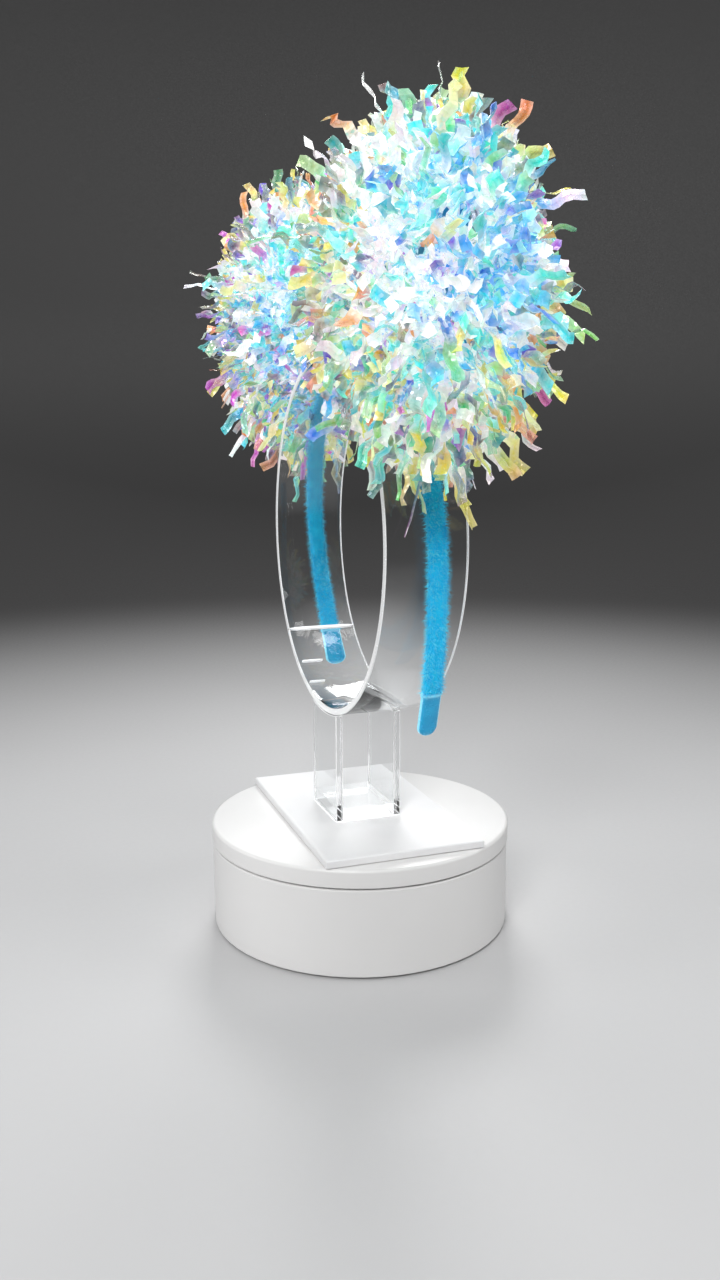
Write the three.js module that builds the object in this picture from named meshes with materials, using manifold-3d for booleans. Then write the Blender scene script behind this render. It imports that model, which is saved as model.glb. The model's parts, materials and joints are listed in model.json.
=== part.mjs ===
// Display turntable with a clear ring stand and a tinsel-ear headband, in millimetres, +Z up.
// The origin is on the turntable's axis, on the surface that it stands on. +X runs along the
// axis of the clear ring, and the headband's two legs hang on the -Y and +Y sides of it.
import * as THREE from "three";
import { mergeVertices } from "three/addons/utils/BufferGeometryUtils.js";
import Module from "manifold-3d";

const wasm = await Module();
wasm.setup();

// ---------------------------------------------------------------- driving dimensions

const slack = 0.3; // gap between pieces that sit against each other
const running_gap = 0.15; // radial gap round a piece that turns or slides

// turntable
const turntable_diameter = 120;
const turntable_height = 42;
const platter_edge_height = 6.9;
const platter_gap = 0.8; // open line between platter and housing
const platter_sheet = 2.5;
const platter_proud = 0.3; // the platter's edge stands this far outside the housing
const edge_radius = 1.2;
const housing_wall = 2.2;
const deck_thickness = 2.5;
const cover_thickness = 2;
const foot_radius = 5;
const foot_thickness = 1.6;
const foot_drop = 0.8; // how far the feet lift the housing off the table

// drive
const spindle_radius = 3;
const gear_module = 1;
const drive_teeth = 36;
const pinion_teeth = 12;
const gear_thickness = 4.5;
const gear_clearance = 2.8; // from the deck's underside to the drive gear
const motor_radius = 12;
const motor_shaft_radius = 1.5;
const motor_ear_span = 35; // distance between the motor's two screws
const roller_radius = 4;
const roller_width = 5;
const roller_count = 3;
const roller_inset = 15.5; // from the platter's outer edge to the rollers' track
const axle_radius = 1;

// power
const cell_radius = 5.25;
const cell_length = 44.5;
const spring_length = 4.2;
const box_wall = 1.2;
const battery_offset = 12; // from the spindle's axis to the battery box
const control_height = 14; // height of the socket, button and switch
const control_spacing = 11;
const switch_travel = 3;
const button_radius = 3;

// screws
const screw_radius = 1.2;
const screw_head_radius = 2.6;
const boss_radius = 3.2;

// stand
const base_width = 62; // along X
const base_length = 104; // along Y
const base_thickness = 3;
const upright_thickness = 2.8;
const upright_width = 30;
const upright_height = 41.5;
const upright_spacing = 23.9; // between the uprights' middle planes
const upright_offset = -1.65; // the pair stands this far towards -X
const foot_bar_height = 5;
const ring_diameter = 138;
const ring_wall = 2.5;
const ring_length = 30;
const seam_angle = 40; // degrees below the ring's middle, on the +Y side
const seam_gap = 0.4;

// headband
const hoop_tilt = 3; // degrees, the top leans towards -X
const hoop_turn = 0.6; // degrees about Z, the far leg goes towards +X
const hoop_shift = 3.2; // along the ring, towards +X
const core_width = 4.8;
const core_thickness = 1.1;
const plush_width = 6.8;
const plush_thickness = 3.4;
const plush_round = 1.5; // corner radius of the sleeve's section
const leg_drop = 65.9; // from the ring's middle to the end of a leg
const leg_inset = 11.5; // how far a leg's end draws in towards the middle
const leg_twist = 2.4; // how far the legs' ends are bent: the far one towards +X, the near one -X
const tip_length = 16.6;
const tip_width = 6.6;
const tip_thickness = 2.9;
const ear_angle = 43.5; // degrees from the top of the hoop
const ear_reach = 48; // from the hoop's middle line to the ear's centre
const near_ear_lean = -5; // degrees, an ear leans towards +X from its saddle
const far_ear_lean = 2;
const ear_frame_radius = 41;
const ear_wire_radius = 1;
const ear_pad_thickness = 5;
const tinsel_root_radius = 47;
const tinsel_root_depth = 16;
const tinsel_radius = 66;
const tinsel_depth = 40;
const strip_count = 36;
const strip_width = 6;
const strip_thickness = 0.8;
const ear_parting = 1.5; // half the gap between the two ears' tinsel

// ---------------------------------------------------------------- worked-out levels

const platter_radius = turntable_diameter / 2;
const housing_radius = platter_radius - platter_proud;
const inner_radius = housing_radius - housing_wall;
const cover_top = foot_drop + cover_thickness;
const skirt_bottom = turntable_height - platter_edge_height;
const deck_top = skirt_bottom - platter_gap;
const deck_bottom = deck_top - deck_thickness;
const platter_under = turntable_height - platter_sheet;
const gear_top = deck_bottom - gear_clearance;
const gear_bottom = gear_top - gear_thickness;
const gear_centres = (gear_module * (drive_teeth + pinion_teeth)) / 2;
const motor_plate_top = gear_bottom - 1;
const motor_plate_bottom = motor_plate_top - 1;
const screw_circle = inner_radius - 8.4;
const screw_angles = [16, 164, 248, 292];
const foot_circle = inner_radius - 8;
const foot_angles = [35, 145, 215, 325];
const roller_circle = platter_radius - roller_inset;
const roller_height = platter_under - running_gap - roller_radius;
const bush_radius = spindle_radius + 2;
const panel_face = inner_radius + 0.2; // flat outer face of the control panel
const panel_inside = panel_face - housing_wall;
const board_thickness = 1.6;
const board_face = panel_inside - 2.6;
const ring_radius = ring_diameter / 2;
const ring_height = base_thickness + upright_height + ring_radius; // above the stand's underside
// the tilted hoop clears the ring at the edges of the sleeve's flat underside
const tilt = THREE.MathUtils.degToRad(hoop_tilt);
const hoop_radius =
  ring_radius / Math.cos(tilt) +
  (plush_width / 2 - plush_round) * Math.tan(tilt) +
  slack +
  plush_thickness / 2;

// ---------------------------------------------------------------- shared helpers

// A closed geometry as a solid, with its faces turned outwards.
function solid(geometry) {
  const bare = new THREE.BufferGeometry();
  const flat = geometry.index ? geometry.toNonIndexed() : geometry;
  bare.setAttribute("position", flat.getAttribute("position"));
  const merged = mergeVertices(bare, 1e-4);
  const triVerts = new Uint32Array(merged.index.array);
  const make = () =>
    new wasm.Manifold(
      new wasm.Mesh({ numProp: 3, vertProperties: merged.attributes.position.array, triVerts }),
    );
  const made = make();
  if (made.volume() > 0) return made;
  for (let i = 0; i < triVerts.length; i += 3) {
    [triVerts[i + 1], triVerts[i + 2]] = [triVerts[i + 2], triVerts[i + 1]];
  }
  return make();
}

// A solid back as a geometry for a mesh.
function geometryOf(made) {
  const { vertProperties, triVerts } = made.getMesh();
  const geometry = new THREE.BufferGeometry();
  geometry.setAttribute("position", new THREE.BufferAttribute(vertProperties, 3));
  geometry.setIndex(new THREE.BufferAttribute(triVerts, 1));
  geometry.computeVertexNormals();
  return geometry;
}

const radians = THREE.MathUtils.degToRad;

// A point at a radius and an angle in degrees round the Z axis.
const polar = (radius, degrees) => [
  radius * Math.cos(radians(degrees)),
  radius * Math.sin(radians(degrees)),
];

// An upright cylinder from one height to another.
function rod(radius, low, high, x = 0, y = 0, sides = 20) {
  const geometry = new THREE.CylinderGeometry(radius, radius, high - low, sides);
  return solid(geometry.rotateX(Math.PI / 2).translate(x, y, (low + high) / 2));
}

// A cylinder along X.
function rodX(radius, low, high, y, z, sides = 16) {
  const geometry = new THREE.CylinderGeometry(radius, radius, high - low, sides);
  return solid(geometry.rotateZ(Math.PI / 2).translate((low + high) / 2, y, z));
}

// A block between two corners.
function block(low, high) {
  const size = high.map((value, i) => value - low[i]);
  const middle = high.map((value, i) => (value + low[i]) / 2);
  return solid(new THREE.BoxGeometry(...size).translate(...middle));
}

// A turned solid: the profile is a list of [radius, height].
function turned(profile, sides = 60) {
  const points = profile.map(([radius, height]) => new THREE.Vector2(radius, height));
  return solid(new THREE.LatheGeometry(points, sides).rotateX(Math.PI / 2));
}

// Quarter-round corner points for a turned profile, from one angle to another.
function corner(radius, height, round, from, to, steps = 4) {
  return Array.from({ length: steps + 1 }, (_, i) => {
    const angle = radians(from + ((to - from) * i) / steps);
    return [radius + round * Math.cos(angle), height + round * Math.sin(angle)];
  });
}

function rectangle(width, height, round = 0, points = 3) {
  const [w, h] = [width / 2 - round, height / 2 - round];
  const shape = new THREE.Shape();
  const middles = [[w, h], [-w, h], [-w, -h], [w, -h]];
  middles.forEach(([x, y], quarter) => {
    for (let i = 0; i <= (round ? points : 0); i += 1) {
      const angle = ((quarter + i / points) * Math.PI) / 2;
      const [px, py] = [x + round * Math.cos(angle), y + round * Math.sin(angle)];
      if (quarter || i) shape.lineTo(px, py);
      else shape.moveTo(px, py);
    }
  });
  shape.closePath();
  return shape;
}

function extruded(shape, depth) {
  return new THREE.ExtrudeGeometry(shape, { depth, bevelEnabled: false, curveSegments: 8 });
}

function finish(color, roughness, metalness = 0, opacity = 1) {
  const transparent = opacity < 1;
  return new THREE.MeshStandardMaterial({ color, roughness, metalness, opacity, transparent });
}

const looks = {
  white: finish(0xecebe8, 0.5),
  clear: finish(0xdfe9ec, 0.08, 0, 0.35),
  frosted: finish(0xe9e7e4, 0.45),
  rubber: finish(0x4a4a4c, 0.9),
  steel: finish(0xb9bcc0, 0.3, 0.9),
  brass: finish(0xc5a35a, 0.35, 0.9),
  nylon: finish(0xd9d4c6, 0.55),
  dark: finish(0x2b2c2f, 0.6),
  board: finish(0x1f6b45, 0.5),
  cell: finish(0x3d7a4b, 0.35),
  blue: finish(0x2b9cc9, 0.9),
  tip: finish(0x2a9fd6, 0.25),
  tinsel: finish(0xcfe3ea, 0.2, 0.3),
};

// Adds a named mesh to a group, from a solid or a geometry.
function add(group, name, shape, look, x = 0, y = 0, z = 0) {
  const geometry = shape.isBufferGeometry ? shape : geometryOf(shape);
  const mesh = new THREE.Mesh(geometry, look);
  mesh.name = name;
  mesh.position.set(x, y, z);
  group.add(mesh);
  return mesh;
}

const model = new THREE.Group();
const turntable = new THREE.Group();
model.add(turntable);

// ---------------------------------------------------------------- housing and its covers

// Two guides with slots hold the circuit board's upright edges.
const board_half = control_spacing + 9;
function boardGuides() {
  const [low, high] = [board_face - board_thickness - 1.5, board_face + 1.5];
  const guide = (side) => {
    const [near, far] = [board_half - 2, board_half + 2].map((y) => y * side);
    const whole = block(
      [low, Math.min(near, far), control_height],
      [high, Math.max(near, far), deck_bottom + 0.5],
    );
    const slot = block(
      [board_face - board_thickness - slack, -board_half - slack, 0],
      [board_face + slack, board_half + slack, deck_bottom],
    );
    return whole.subtract(slot);
  };
  return guide(1).add(guide(-1));
}

// Lugs on the deck that carry one roller's axle, along +X.
const lug_gap = roller_width / 2 + 0.5;
const lug_width = 2;
function rollerLugs() {
  const lug = (start) =>
    block([start, -2.6, deck_top - 0.5], [start + lug_width, 2.6, roller_height + 1.9]);
  return lug(roller_circle + lug_gap).add(lug(roller_circle - lug_gap - lug_width));
}

function turnedAbout(made, degrees) {
  return solid(geometryOf(made).rotateZ(radians(degrees)));
}

const roller_angles = Array.from({ length: roller_count }, (_, i) => 90 + (360 / roller_count) * i);
const motor_post_y = -gear_centres;
const screw_reach = 12;

function housing() {
  const lip = inner_radius - 1;
  let shell = turned([
    [bush_radius + running_gap, deck_bottom],
    [inner_radius, deck_bottom],
    [inner_radius, foot_drop],
    [housing_radius - 0.4, foot_drop],
    [housing_radius, foot_drop + 0.4],
    ...corner(housing_radius - 0.5, deck_top - 0.5, 0.5, 0, 90, 2),
    [lip, deck_top],
    [lip, deck_top + 2.6],
    [lip - 1.8, deck_top + 2.6],
    [lip - 1.8, deck_top],
    [bush_radius + running_gap, deck_top],
    [bush_radius + running_gap, deck_bottom],
  ]);
  for (const angle of screw_angles) {
    const [x, y] = polar(screw_circle, angle);
    shell = shell.add(rod(boss_radius, cover_top + slack, deck_bottom + 0.5, x, y, 16));
    shell = shell.subtract(rod(screw_radius + running_gap, 0, screw_reach + 1, x, y, 12));
  }
  for (const side of [-1, 1]) {
    const x = (side * motor_ear_span) / 2;
    shell = shell.add(
      rod(boss_radius, motor_plate_top + slack, deck_bottom + 0.5, x, motor_post_y, 16),
    );
    shell = shell.subtract(
      rod(screw_radius + running_gap, 0, motor_plate_top + 6, x, motor_post_y, 12),
    );
  }
  shell = shell.add(boardGuides());
  for (const angle of roller_angles) {
    shell = shell.add(turnedAbout(rollerLugs(), angle));
    const pocket = block(
      [roller_circle - lug_gap, -roller_radius - 0.6, deck_bottom - 1],
      [roller_circle + lug_gap, roller_radius + 0.6, deck_top + 0.2],
    );
    const bore = rodX(
      axle_radius + running_gap,
      roller_circle - lug_gap - lug_width - 1,
      roller_circle + lug_gap + lug_width + 1,
      0,
      roller_height,
      12,
    );
    shell = shell.subtract(turnedAbout(pocket.add(bore), angle));
  }
  return shell.add(controlPanel()).subtract(controlOpenings()).subtract(doorNotch());
}

// The flat panel behind the socket, button and switch, merged into the housing's wall.
const panel_half_height = 6;
function controlPanel() {
  const half = Math.sqrt(housing_radius ** 2 - panel_face ** 2) + 2;
  const low = [panel_inside, -half, control_height - panel_half_height - 1];
  return block(low, [panel_face, half, control_height + panel_half_height + 1]);
}

const slot_half = switch_travel / 2 + 1.5 + running_gap;
const socket_half_width = 4.5;
const socket_half_height = 1.65;
function controlOpenings() {
  const recess = block(
    [panel_face, -inner_radius, control_height - panel_half_height],
    [housing_radius + 1, inner_radius, control_height + panel_half_height],
  );
  const through = [panel_inside - 1, panel_face + 1];
  const button = rodX(button_radius + running_gap, ...through, 0, control_height);
  const slot = block(
    [through[0], control_spacing - slot_half, control_height - 1.2 - running_gap],
    [through[1], control_spacing + slot_half, control_height + 1.2 + running_gap],
  );
  const [w, h] = [socket_half_width + slack, socket_half_height + slack];
  const socket = block(
    [through[0], -control_spacing - w, control_height - h],
    [through[1], -control_spacing + w, control_height + h],
  );
  return recess.add(button).add(slot).add(socket);
}

// ---------------------------------------------------------------- battery bay

const cell_pitch = 2 * cell_radius + 0.8;
const bay_half = (cell_length + spring_length + 1.3) / 2; // inside half length, along X
const bay_depth = 2 * cell_radius + 0.6;
const bay_near = battery_offset + box_wall;
const bay_far = bay_near + cell_pitch + 2 * cell_radius + 0.6;
const door_half = bay_half + 0.4;
const door_flange = 1.4; // how far the door's inner flange reaches past its opening
const door_start = battery_offset - 1.4;
const door_step = foot_drop + 1.1; // level of the door's flange
const bay_bottom = cover_top + slack;

function doorNotch() {
  const half = door_half + door_flange + slack;
  return block([-half, inner_radius / 2, 0], [half, housing_radius + 1, cover_top + slack]);
}

function bottomCover() {
  const edge = inner_radius - slack;
  let cover = rod(edge, foot_drop, cover_top, 0, 0, 60);
  const half = door_half + slack;
  const opening = block([-half, door_start - slack, 0], [half, edge + 1, 9]);
  const wide = half + door_flange;
  const rebate = block(
    [-wide, door_start - door_flange - slack, door_step - slack],
    [wide, edge + 1, 9],
  );
  cover = cover.subtract(opening).subtract(rebate);
  for (const angle of screw_angles) {
    const [x, y] = polar(screw_circle, angle);
    cover = cover.subtract(rod(screw_head_radius + slack, 0, foot_drop + 1.3, x, y, 16));
    cover = cover.subtract(rod(screw_radius + slack, 0, 9, x, y, 12));
  }
  for (const angle of foot_angles) {
    const [x, y] = polar(foot_circle, angle);
    cover = cover.subtract(rod(foot_radius + running_gap, 0, foot_thickness + 0.1, x, y, 24));
  }
  const pivot = rod(spindle_radius + 3, cover_top - 0.5, cover_top + 6);
  return cover.add(pivot).subtract(rod(spindle_radius + running_gap, foot_drop + 1.6, 20));
}

function batteryDoor() {
  const reach = housing_radius - 0.2;
  const disc = rod(reach, foot_drop, cover_top, 0, 0, 60);
  const plate = block([-door_half, door_start, foot_drop], [door_half, reach, cover_top]);
  const wide = door_half + door_flange;
  const flange = block([-wide, door_start - door_flange, door_step], [wide, reach, cover_top]);
  let door = plate.add(flange).intersect(disc);
  for (let i = 0; i < 4; i += 1) {
    const y = bay_far + 4 + 2.6 * i;
    door = door.subtract(block([-9, y, 0], [9, y + 1.2, foot_drop + 0.5]));
  }
  return door;
}

function batteryBox() {
  const top = bay_bottom + bay_depth;
  const outer = block(
    [-bay_half - box_wall, battery_offset, bay_bottom],
    [bay_half + box_wall, bay_far + box_wall, top + box_wall],
  );
  const inner = block([-bay_half, bay_near, 0], [bay_half, bay_far, top]);
  const wide = bay_half + box_wall;
  const flange_half = door_half + door_flange + slack + 2.6;
  const flanges = block(
    [-flange_half, bay_near + 2, bay_bottom],
    [flange_half, bay_near + 14, bay_bottom + 1],
  ).subtract(block([-wide + 0.1, 0, 0], [wide - 0.1, 90, 90]));
  return outer.add(flanges).subtract(inner);
}

function cell() {
  const [body, nub] = [cell_radius, 1.9];
  const end = cell_length / 2;
  return turned(
    [[0, -end], [body - 0.5, -end], [body, -end + 0.5], [body, end - 1.7], [body - 0.5, end - 1.2],
      [nub, end - 1.2], [nub, end], [0, end]],
    20,
  );
}

// A conical contact spring, wound along +X from its wide seat.
class SpringPath extends THREE.Curve {
  getPoint(t, target = new THREE.Vector3()) {
    const turns = 3;
    const radius = THREE.MathUtils.lerp(3.6, 2, t);
    const angle = 2 * Math.PI * turns * t;
    return target.set(t * (spring_length - 1), radius * Math.cos(angle), radius * Math.sin(angle));
  }
}

function contactSpring() {
  const wire = new THREE.Shape().absarc(0, 0, 0.35, 0, 2 * Math.PI);
  const options = { steps: 27, extrudePath: new SpringPath(), curveSegments: 3 };
  return solid(new THREE.ExtrudeGeometry(wire, options));
}

// ---------------------------------------------------------------- drive train

// A spur gear's outline: straight flanks at a 20 degree pressure angle, thinned by the backlash.
function gearShape(teeth, bore, turn = 0) {
  const pitch = (gear_module * teeth) / 2;
  const backlash = 0.25;
  const half = (width, radius) => width / 2 / radius;
  const levels = [-1.2, 0.9].map((step) => {
    const width = Math.PI / 2 - 2 * step * Math.tan(radians(20));
    return [pitch + step * gear_module, width * gear_module - backlash];
  });
  const shape = new THREE.Shape();
  for (let tooth = 0; tooth < teeth; tooth += 1) {
    const middle = turn + (2 * Math.PI * tooth) / teeth;
    const rise = levels.map(([radius, width]) => [radius, middle - half(width, radius)]);
    const fall = levels.map(([radius, width]) => [radius, middle + half(width, radius)]).reverse();
    for (const [radius, angle] of [...rise, ...fall]) {
      const [x, y] = [radius * Math.cos(angle), radius * Math.sin(angle)];
      if (shape.curves.length || shape.currentPoint.lengthSq()) shape.lineTo(x, y);
      else shape.moveTo(x, y);
    }
  }
  shape.closePath();
  shape.holes.push(new THREE.Path().absarc(0, 0, bore, 0, 2 * Math.PI, true));
  return shape;
}

const hub_drop = 4; // how far the drive gear's hub reaches below its teeth
function driveGear() {
  const bore = spindle_radius + running_gap;
  const flat = extruded(gearShape(drive_teeth, bore), gear_thickness);
  const wheel = solid(flat.translate(0, 0, gear_bottom));
  const hub = rod(bore + 4, gear_bottom - hub_drop, gear_bottom + 1)
    .subtract(rod(bore, 0, turntable_height));
  const thread = rodX(1.5 + running_gap, 0, 20, 0, gear_bottom - hub_drop / 2, 16);
  return wheel.add(hub).subtract(thread);
}

const clip_height = deck_bottom - 2;
function spindle() {
  const groove = rod(9, clip_height - 0.1, clip_height + 0.9)
    .subtract(rod(spindle_radius - 0.5, 0, 60));
  const flat = block([spindle_radius - 0.8, -9, skirt_bottom + 1.5], [9, 9, turntable_height]);
  return rod(spindle_radius, foot_drop + 1.6 + slack, turntable_height - 1.8)
    .subtract(groove)
    .subtract(flat);
}

function retainingClip() {
  const inner = spindle_radius - 0.5 + running_gap;
  const outer = spindle_radius + 2.4;
  const gap = radians(28);
  const shape = new THREE.Shape().absarc(0, 0, outer, gap, 2 * Math.PI - gap);
  shape.absarc(0, 0, inner, 2 * Math.PI - gap, gap, true);
  shape.closePath();
  return solid(extruded(shape, 0.8).translate(0, 0, clip_height));
}

function spindleBush() {
  const bore = spindle_radius + running_gap;
  const top = deck_top + 0.8;
  const flange = deck_bottom - 0.1;
  return turned(
    [[bore, flange - 0.9], [bush_radius + 2, flange - 0.9], [bush_radius + 2, flange],
      [bush_radius, flange], [bush_radius, top], [bore, top], [bore, flange - 0.9]],
    20,
  );
}

function platter() {
  const skirt = platter_radius - 2.2;
  const top = turntable_height;
  const disc = turned([
    [0, platter_under],
    [skirt, platter_under],
    [skirt, skirt_bottom],
    [platter_radius, skirt_bottom],
    ...corner(platter_radius - edge_radius, top - edge_radius, edge_radius, 0, 90, 3),
    [0, top],
  ]);
  const hub = rod(8, deck_top + 1.3, platter_under + 0.5);
  const flat = block(
    [spindle_radius - 0.8 + running_gap, -9, skirt_bottom + 1.5 + slack],
    [9, 9, turntable_height],
  );
  const socket = rod(spindle_radius + running_gap, 0, turntable_height - 1.5).subtract(flat);
  return disc.add(hub).subtract(socket);
}

// The motor stands with its shaft at the group's own Z axis.
function motor() {
  const low = cover_top + 2;
  const can = turned(
    [[0, low], [motor_radius - 1, low], [motor_radius, low + 1], [motor_radius, motor_plate_bottom],
      [0, motor_plate_bottom]],
    20,
  );
  const plate = extruded(rectangle(motor_ear_span + 7, 7, 3.4), 1).translate(0, 0, motor_plate_bottom);
  let made = can.add(solid(plate)).add(rod(4, low + 2, motor_plate_top + 0.6, 0, 0, 24));
  for (const side of [-1, 1]) {
    made = made.subtract(rod(screw_radius + slack, 0, 60, (side * motor_ear_span) / 2, 0, 16));
  }
  return made.subtract(rod(motor_shaft_radius + running_gap, motor_plate_bottom - 5, 60, 0, 0, 20));
}

// A pan-head screw, head down, whose thread starts at the local origin.
function screw(length) {
  const head = turned(
    [[0, -1.2], [screw_head_radius - 0.6, -1.2], [screw_head_radius, -0.5], [screw_head_radius, 0],
      [screw_radius, 0], [screw_radius, length - 1], [screw_radius - 0.7, length], [0, length]],
    10,
  );
  const arm = (width, depth) => block([-width, -depth, -2], [width, depth, -0.7]);
  return head.subtract(arm(1.5, 0.35).add(arm(0.35, 1.5)));
}

// ---------------------------------------------------------------- building the turntable

add(turntable, "housing", housing(), looks.white);
add(turntable, "bottom_cover", bottomCover(), looks.white);
add(turntable, "battery_door", batteryDoor(), looks.white);
add(turntable, "platter", platter(), looks.white);
add(turntable, "spindle", spindle(), looks.steel);
add(turntable, "spindle_bush", spindleBush(), looks.brass);
add(turntable, "retaining_clip", retainingClip(), looks.steel);
add(turntable, "drive_gear", driveGear(), looks.nylon);
add(
  turntable,
  "gear_grub_screw",
  rodX(1.5, spindle_radius + running_gap + 0.1, spindle_radius + 4, 0, gear_bottom - hub_drop / 2, 16),
  looks.steel,
);

screw_angles.forEach((angle, i) => {
  const [x, y] = polar(screw_circle, angle);
  const length = screw_reach - foot_drop - 1.5;
  add(turntable, `cover_screw_${i + 1}`, screw(length), looks.steel, x, y, foot_drop + 1.2);
});

foot_angles.forEach((angle, i) => {
  const [x, y] = polar(foot_circle, angle);
  const pad = turned(
    [[0, 0], [foot_radius - 0.6, 0], [foot_radius, 0.6], [foot_radius, foot_thickness], [0, foot_thickness]],
    24,
  );
  add(turntable, `rubber_foot_${i + 1}`, pad, looks.rubber, x, y, 0);
});

const drive = new THREE.Group();
drive.position.set(0, motor_post_y, 0);
turntable.add(drive);
add(drive, "motor", motor(), looks.steel);
for (const [i, side] of [-1, 1].entries()) {
  const x = (side * motor_ear_span) / 2;
  add(drive, `motor_screw_${i + 1}`, screw(6.5), looks.steel, x, 0, motor_plate_bottom - 0.1);
}
add(
  drive,
  "motor_shaft",
  rod(motor_shaft_radius, motor_plate_bottom - 5 + slack, gear_top + 0.8, 0, 0, 20),
  looks.steel,
);
// The pinion's gap faces the drive gear, half a tooth round from the gear's own tooth.
const drive_phase = (Math.PI / 2) % ((2 * Math.PI) / drive_teeth);
const pinion_turn = Math.PI / 2 + Math.PI / pinion_teeth + (drive_phase * drive_teeth) / pinion_teeth;
add(
  drive,
  "motor_pinion",
  solid(
    extruded(gearShape(pinion_teeth, motor_shaft_radius + running_gap, pinion_turn), gear_thickness)
      .translate(0, 0, gear_bottom),
  ),
  looks.nylon,
);

roller_angles.forEach((angle, i) => {
  const carrier = new THREE.Group();
  const [x, y] = polar(roller_circle, angle);
  carrier.position.set(x, y, roller_height);
  carrier.rotation.z = radians(angle);
  turntable.add(carrier);
  const half = roller_width / 2;
  const bore = axle_radius + running_gap;
  const profile = [[bore, -half], [roller_radius, -half], [roller_radius, half], [bore, half],
    [bore, -half]];
  const wheel = geometryOf(turned(profile, 20)).rotateY(Math.PI / 2);
  add(carrier, `support_roller_${i + 1}`, wheel, looks.rubber);
  const reach = lug_gap + lug_width;
  add(carrier, `roller_axle_${i + 1}`, rodX(axle_radius, -reach, reach, 0, 0, 16), looks.steel);
});

// battery bay: the two cells point opposite ways, each with a spring behind it and a plate before it
add(turntable, "battery_box", batteryBox(), looks.white);
for (const [i, side] of [1, -1].entries()) {
  const bay = new THREE.Group();
  const y = bay_near + cell_radius + 0.3 + cell_pitch * i;
  bay.position.set(0, y, bay_bottom + bay_depth - cell_radius - slack);
  bay.rotation.z = side > 0 ? 0 : Math.PI;
  turntable.add(bay);
  const plate_face = bay_half - 0.7;
  const nub_end = plate_face - 0.2;
  const row = geometryOf(cell()).rotateY(Math.PI / 2);
  add(bay, `battery_cell_${i + 1}`, row, looks.cell, nub_end - cell_length / 2, 0, 0);
  add(bay, `battery_spring_${i + 1}`, contactSpring(), looks.steel, -bay_half + 0.5, 0, 0);
  const plate = block([plate_face, -4, -4], [bay_half - 0.1, 4, 4]);
  add(bay, `battery_contact_${i + 1}`, plate, looks.steel);
}

// controls on the circuit board, behind the panel on the +X side
const board_bottom = cover_top + 2;
const board_top = deck_bottom - slack;
add(
  turntable,
  "circuit_board",
  block([board_face - board_thickness, -board_half, board_bottom], [board_face, board_half, board_top]),
  looks.board,
);
const controls = new THREE.Group();
controls.position.set(board_face, 0, control_height);
turntable.add(controls);
const to_panel = panel_inside - board_face;
const to_face = panel_face - board_face;

function switchBody() {
  const whole = block([0.1, -4.5, -2.5], [to_panel - 0.3, 4.5, 2.5]);
  return whole.subtract(block([0.9, -slot_half, -1.4], [to_panel, slot_half, 1.4]));
}
add(controls, "power_switch_body", switchBody(), looks.steel, 0, control_spacing, 0);

function switchSlider() {
  const knob = block([1.1, -1.5, -1.2], [to_face + 1.4, 1.5, 1.2]);
  return knob.subtract(block([to_face + 0.9, -0.3, -2], [to_face + 2, 0.3, 2]));
}
add(controls, "power_switch_slider", switchSlider(), looks.dark, 0, control_spacing - switch_travel / 2, 0);

const button_stroke = 0.5;
add(controls, "button_switch", rodX(2.4, 0.1, 0.9, 0, 0, 20).add(rodX(1.2, 0.5, 1.3, 0, 0, 16)), looks.dark);
function speedButton() {
  const flange = rodX(button_radius + 0.9, 1.4 + button_stroke, to_panel - 0.1, 0, 0);
  return flange.add(rodX(button_radius, to_panel - 0.5, to_face + 1.2, 0, 0));
}
add(controls, "speed_button", speedButton(), looks.dark);

function socket() {
  const [w, h] = [socket_half_width, socket_half_height];
  const shell = block([0.1, -w, -h], [to_face + 0.2, w, h]);
  const mouth = block([1.5, -w + 0.4, -h + 0.4], [to_face + 1, w - 0.4, h - 0.4]);
  return shell.subtract(mouth).add(block([1, -w + 1.4, -0.35], [to_face - 0.6, w - 1.4, 0.35]));
}
add(controls, "power_socket", socket(), looks.steel, 0, -control_spacing, 0);

// ---------------------------------------------------------------- clear ring stand

const stand = new THREE.Group();
stand.position.z = turntable_height + slack / 2;
model.add(stand);

// The ring is a strip bent into a tube along X, whose ends meet at the seam.
function ring() {
  const seam = radians(seam_angle);
  const half_gap = seam_gap / 2 / ring_radius;
  const start = -seam + half_gap;
  const end = 2 * Math.PI - seam - half_gap;
  const shape = new THREE.Shape();
  const steps = 80;
  const points = (radius, from, to) =>
    Array.from({ length: steps + 1 }, (_, i) => {
      const angle = from + ((to - from) * i) / steps;
      return new THREE.Vector2(radius * Math.cos(angle), radius * Math.sin(angle));
    });
  shape.setFromPoints([
    ...points(ring_radius, start, end),
    ...points(ring_radius - ring_wall, end, start),
  ]);
  // the shape's x and y become the part's Y and Z
  const turn = new THREE.Matrix4().makeBasis(
    new THREE.Vector3(0, 1, 0),
    new THREE.Vector3(0, 0, 1),
    new THREE.Vector3(1, 0, 0),
  );
  return extruded(shape, ring_length).translate(0, 0, -ring_length / 2).applyMatrix4(turn);
}

function upright() {
  const [t, w] = [upright_thickness / 2, upright_width / 2];
  const plate = block([-t, -w, base_thickness + 0.1], [t, w, ring_height]);
  return plate.subtract(rodX(ring_radius + slack, -20, 20, 0, ring_height, 192));
}

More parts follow.
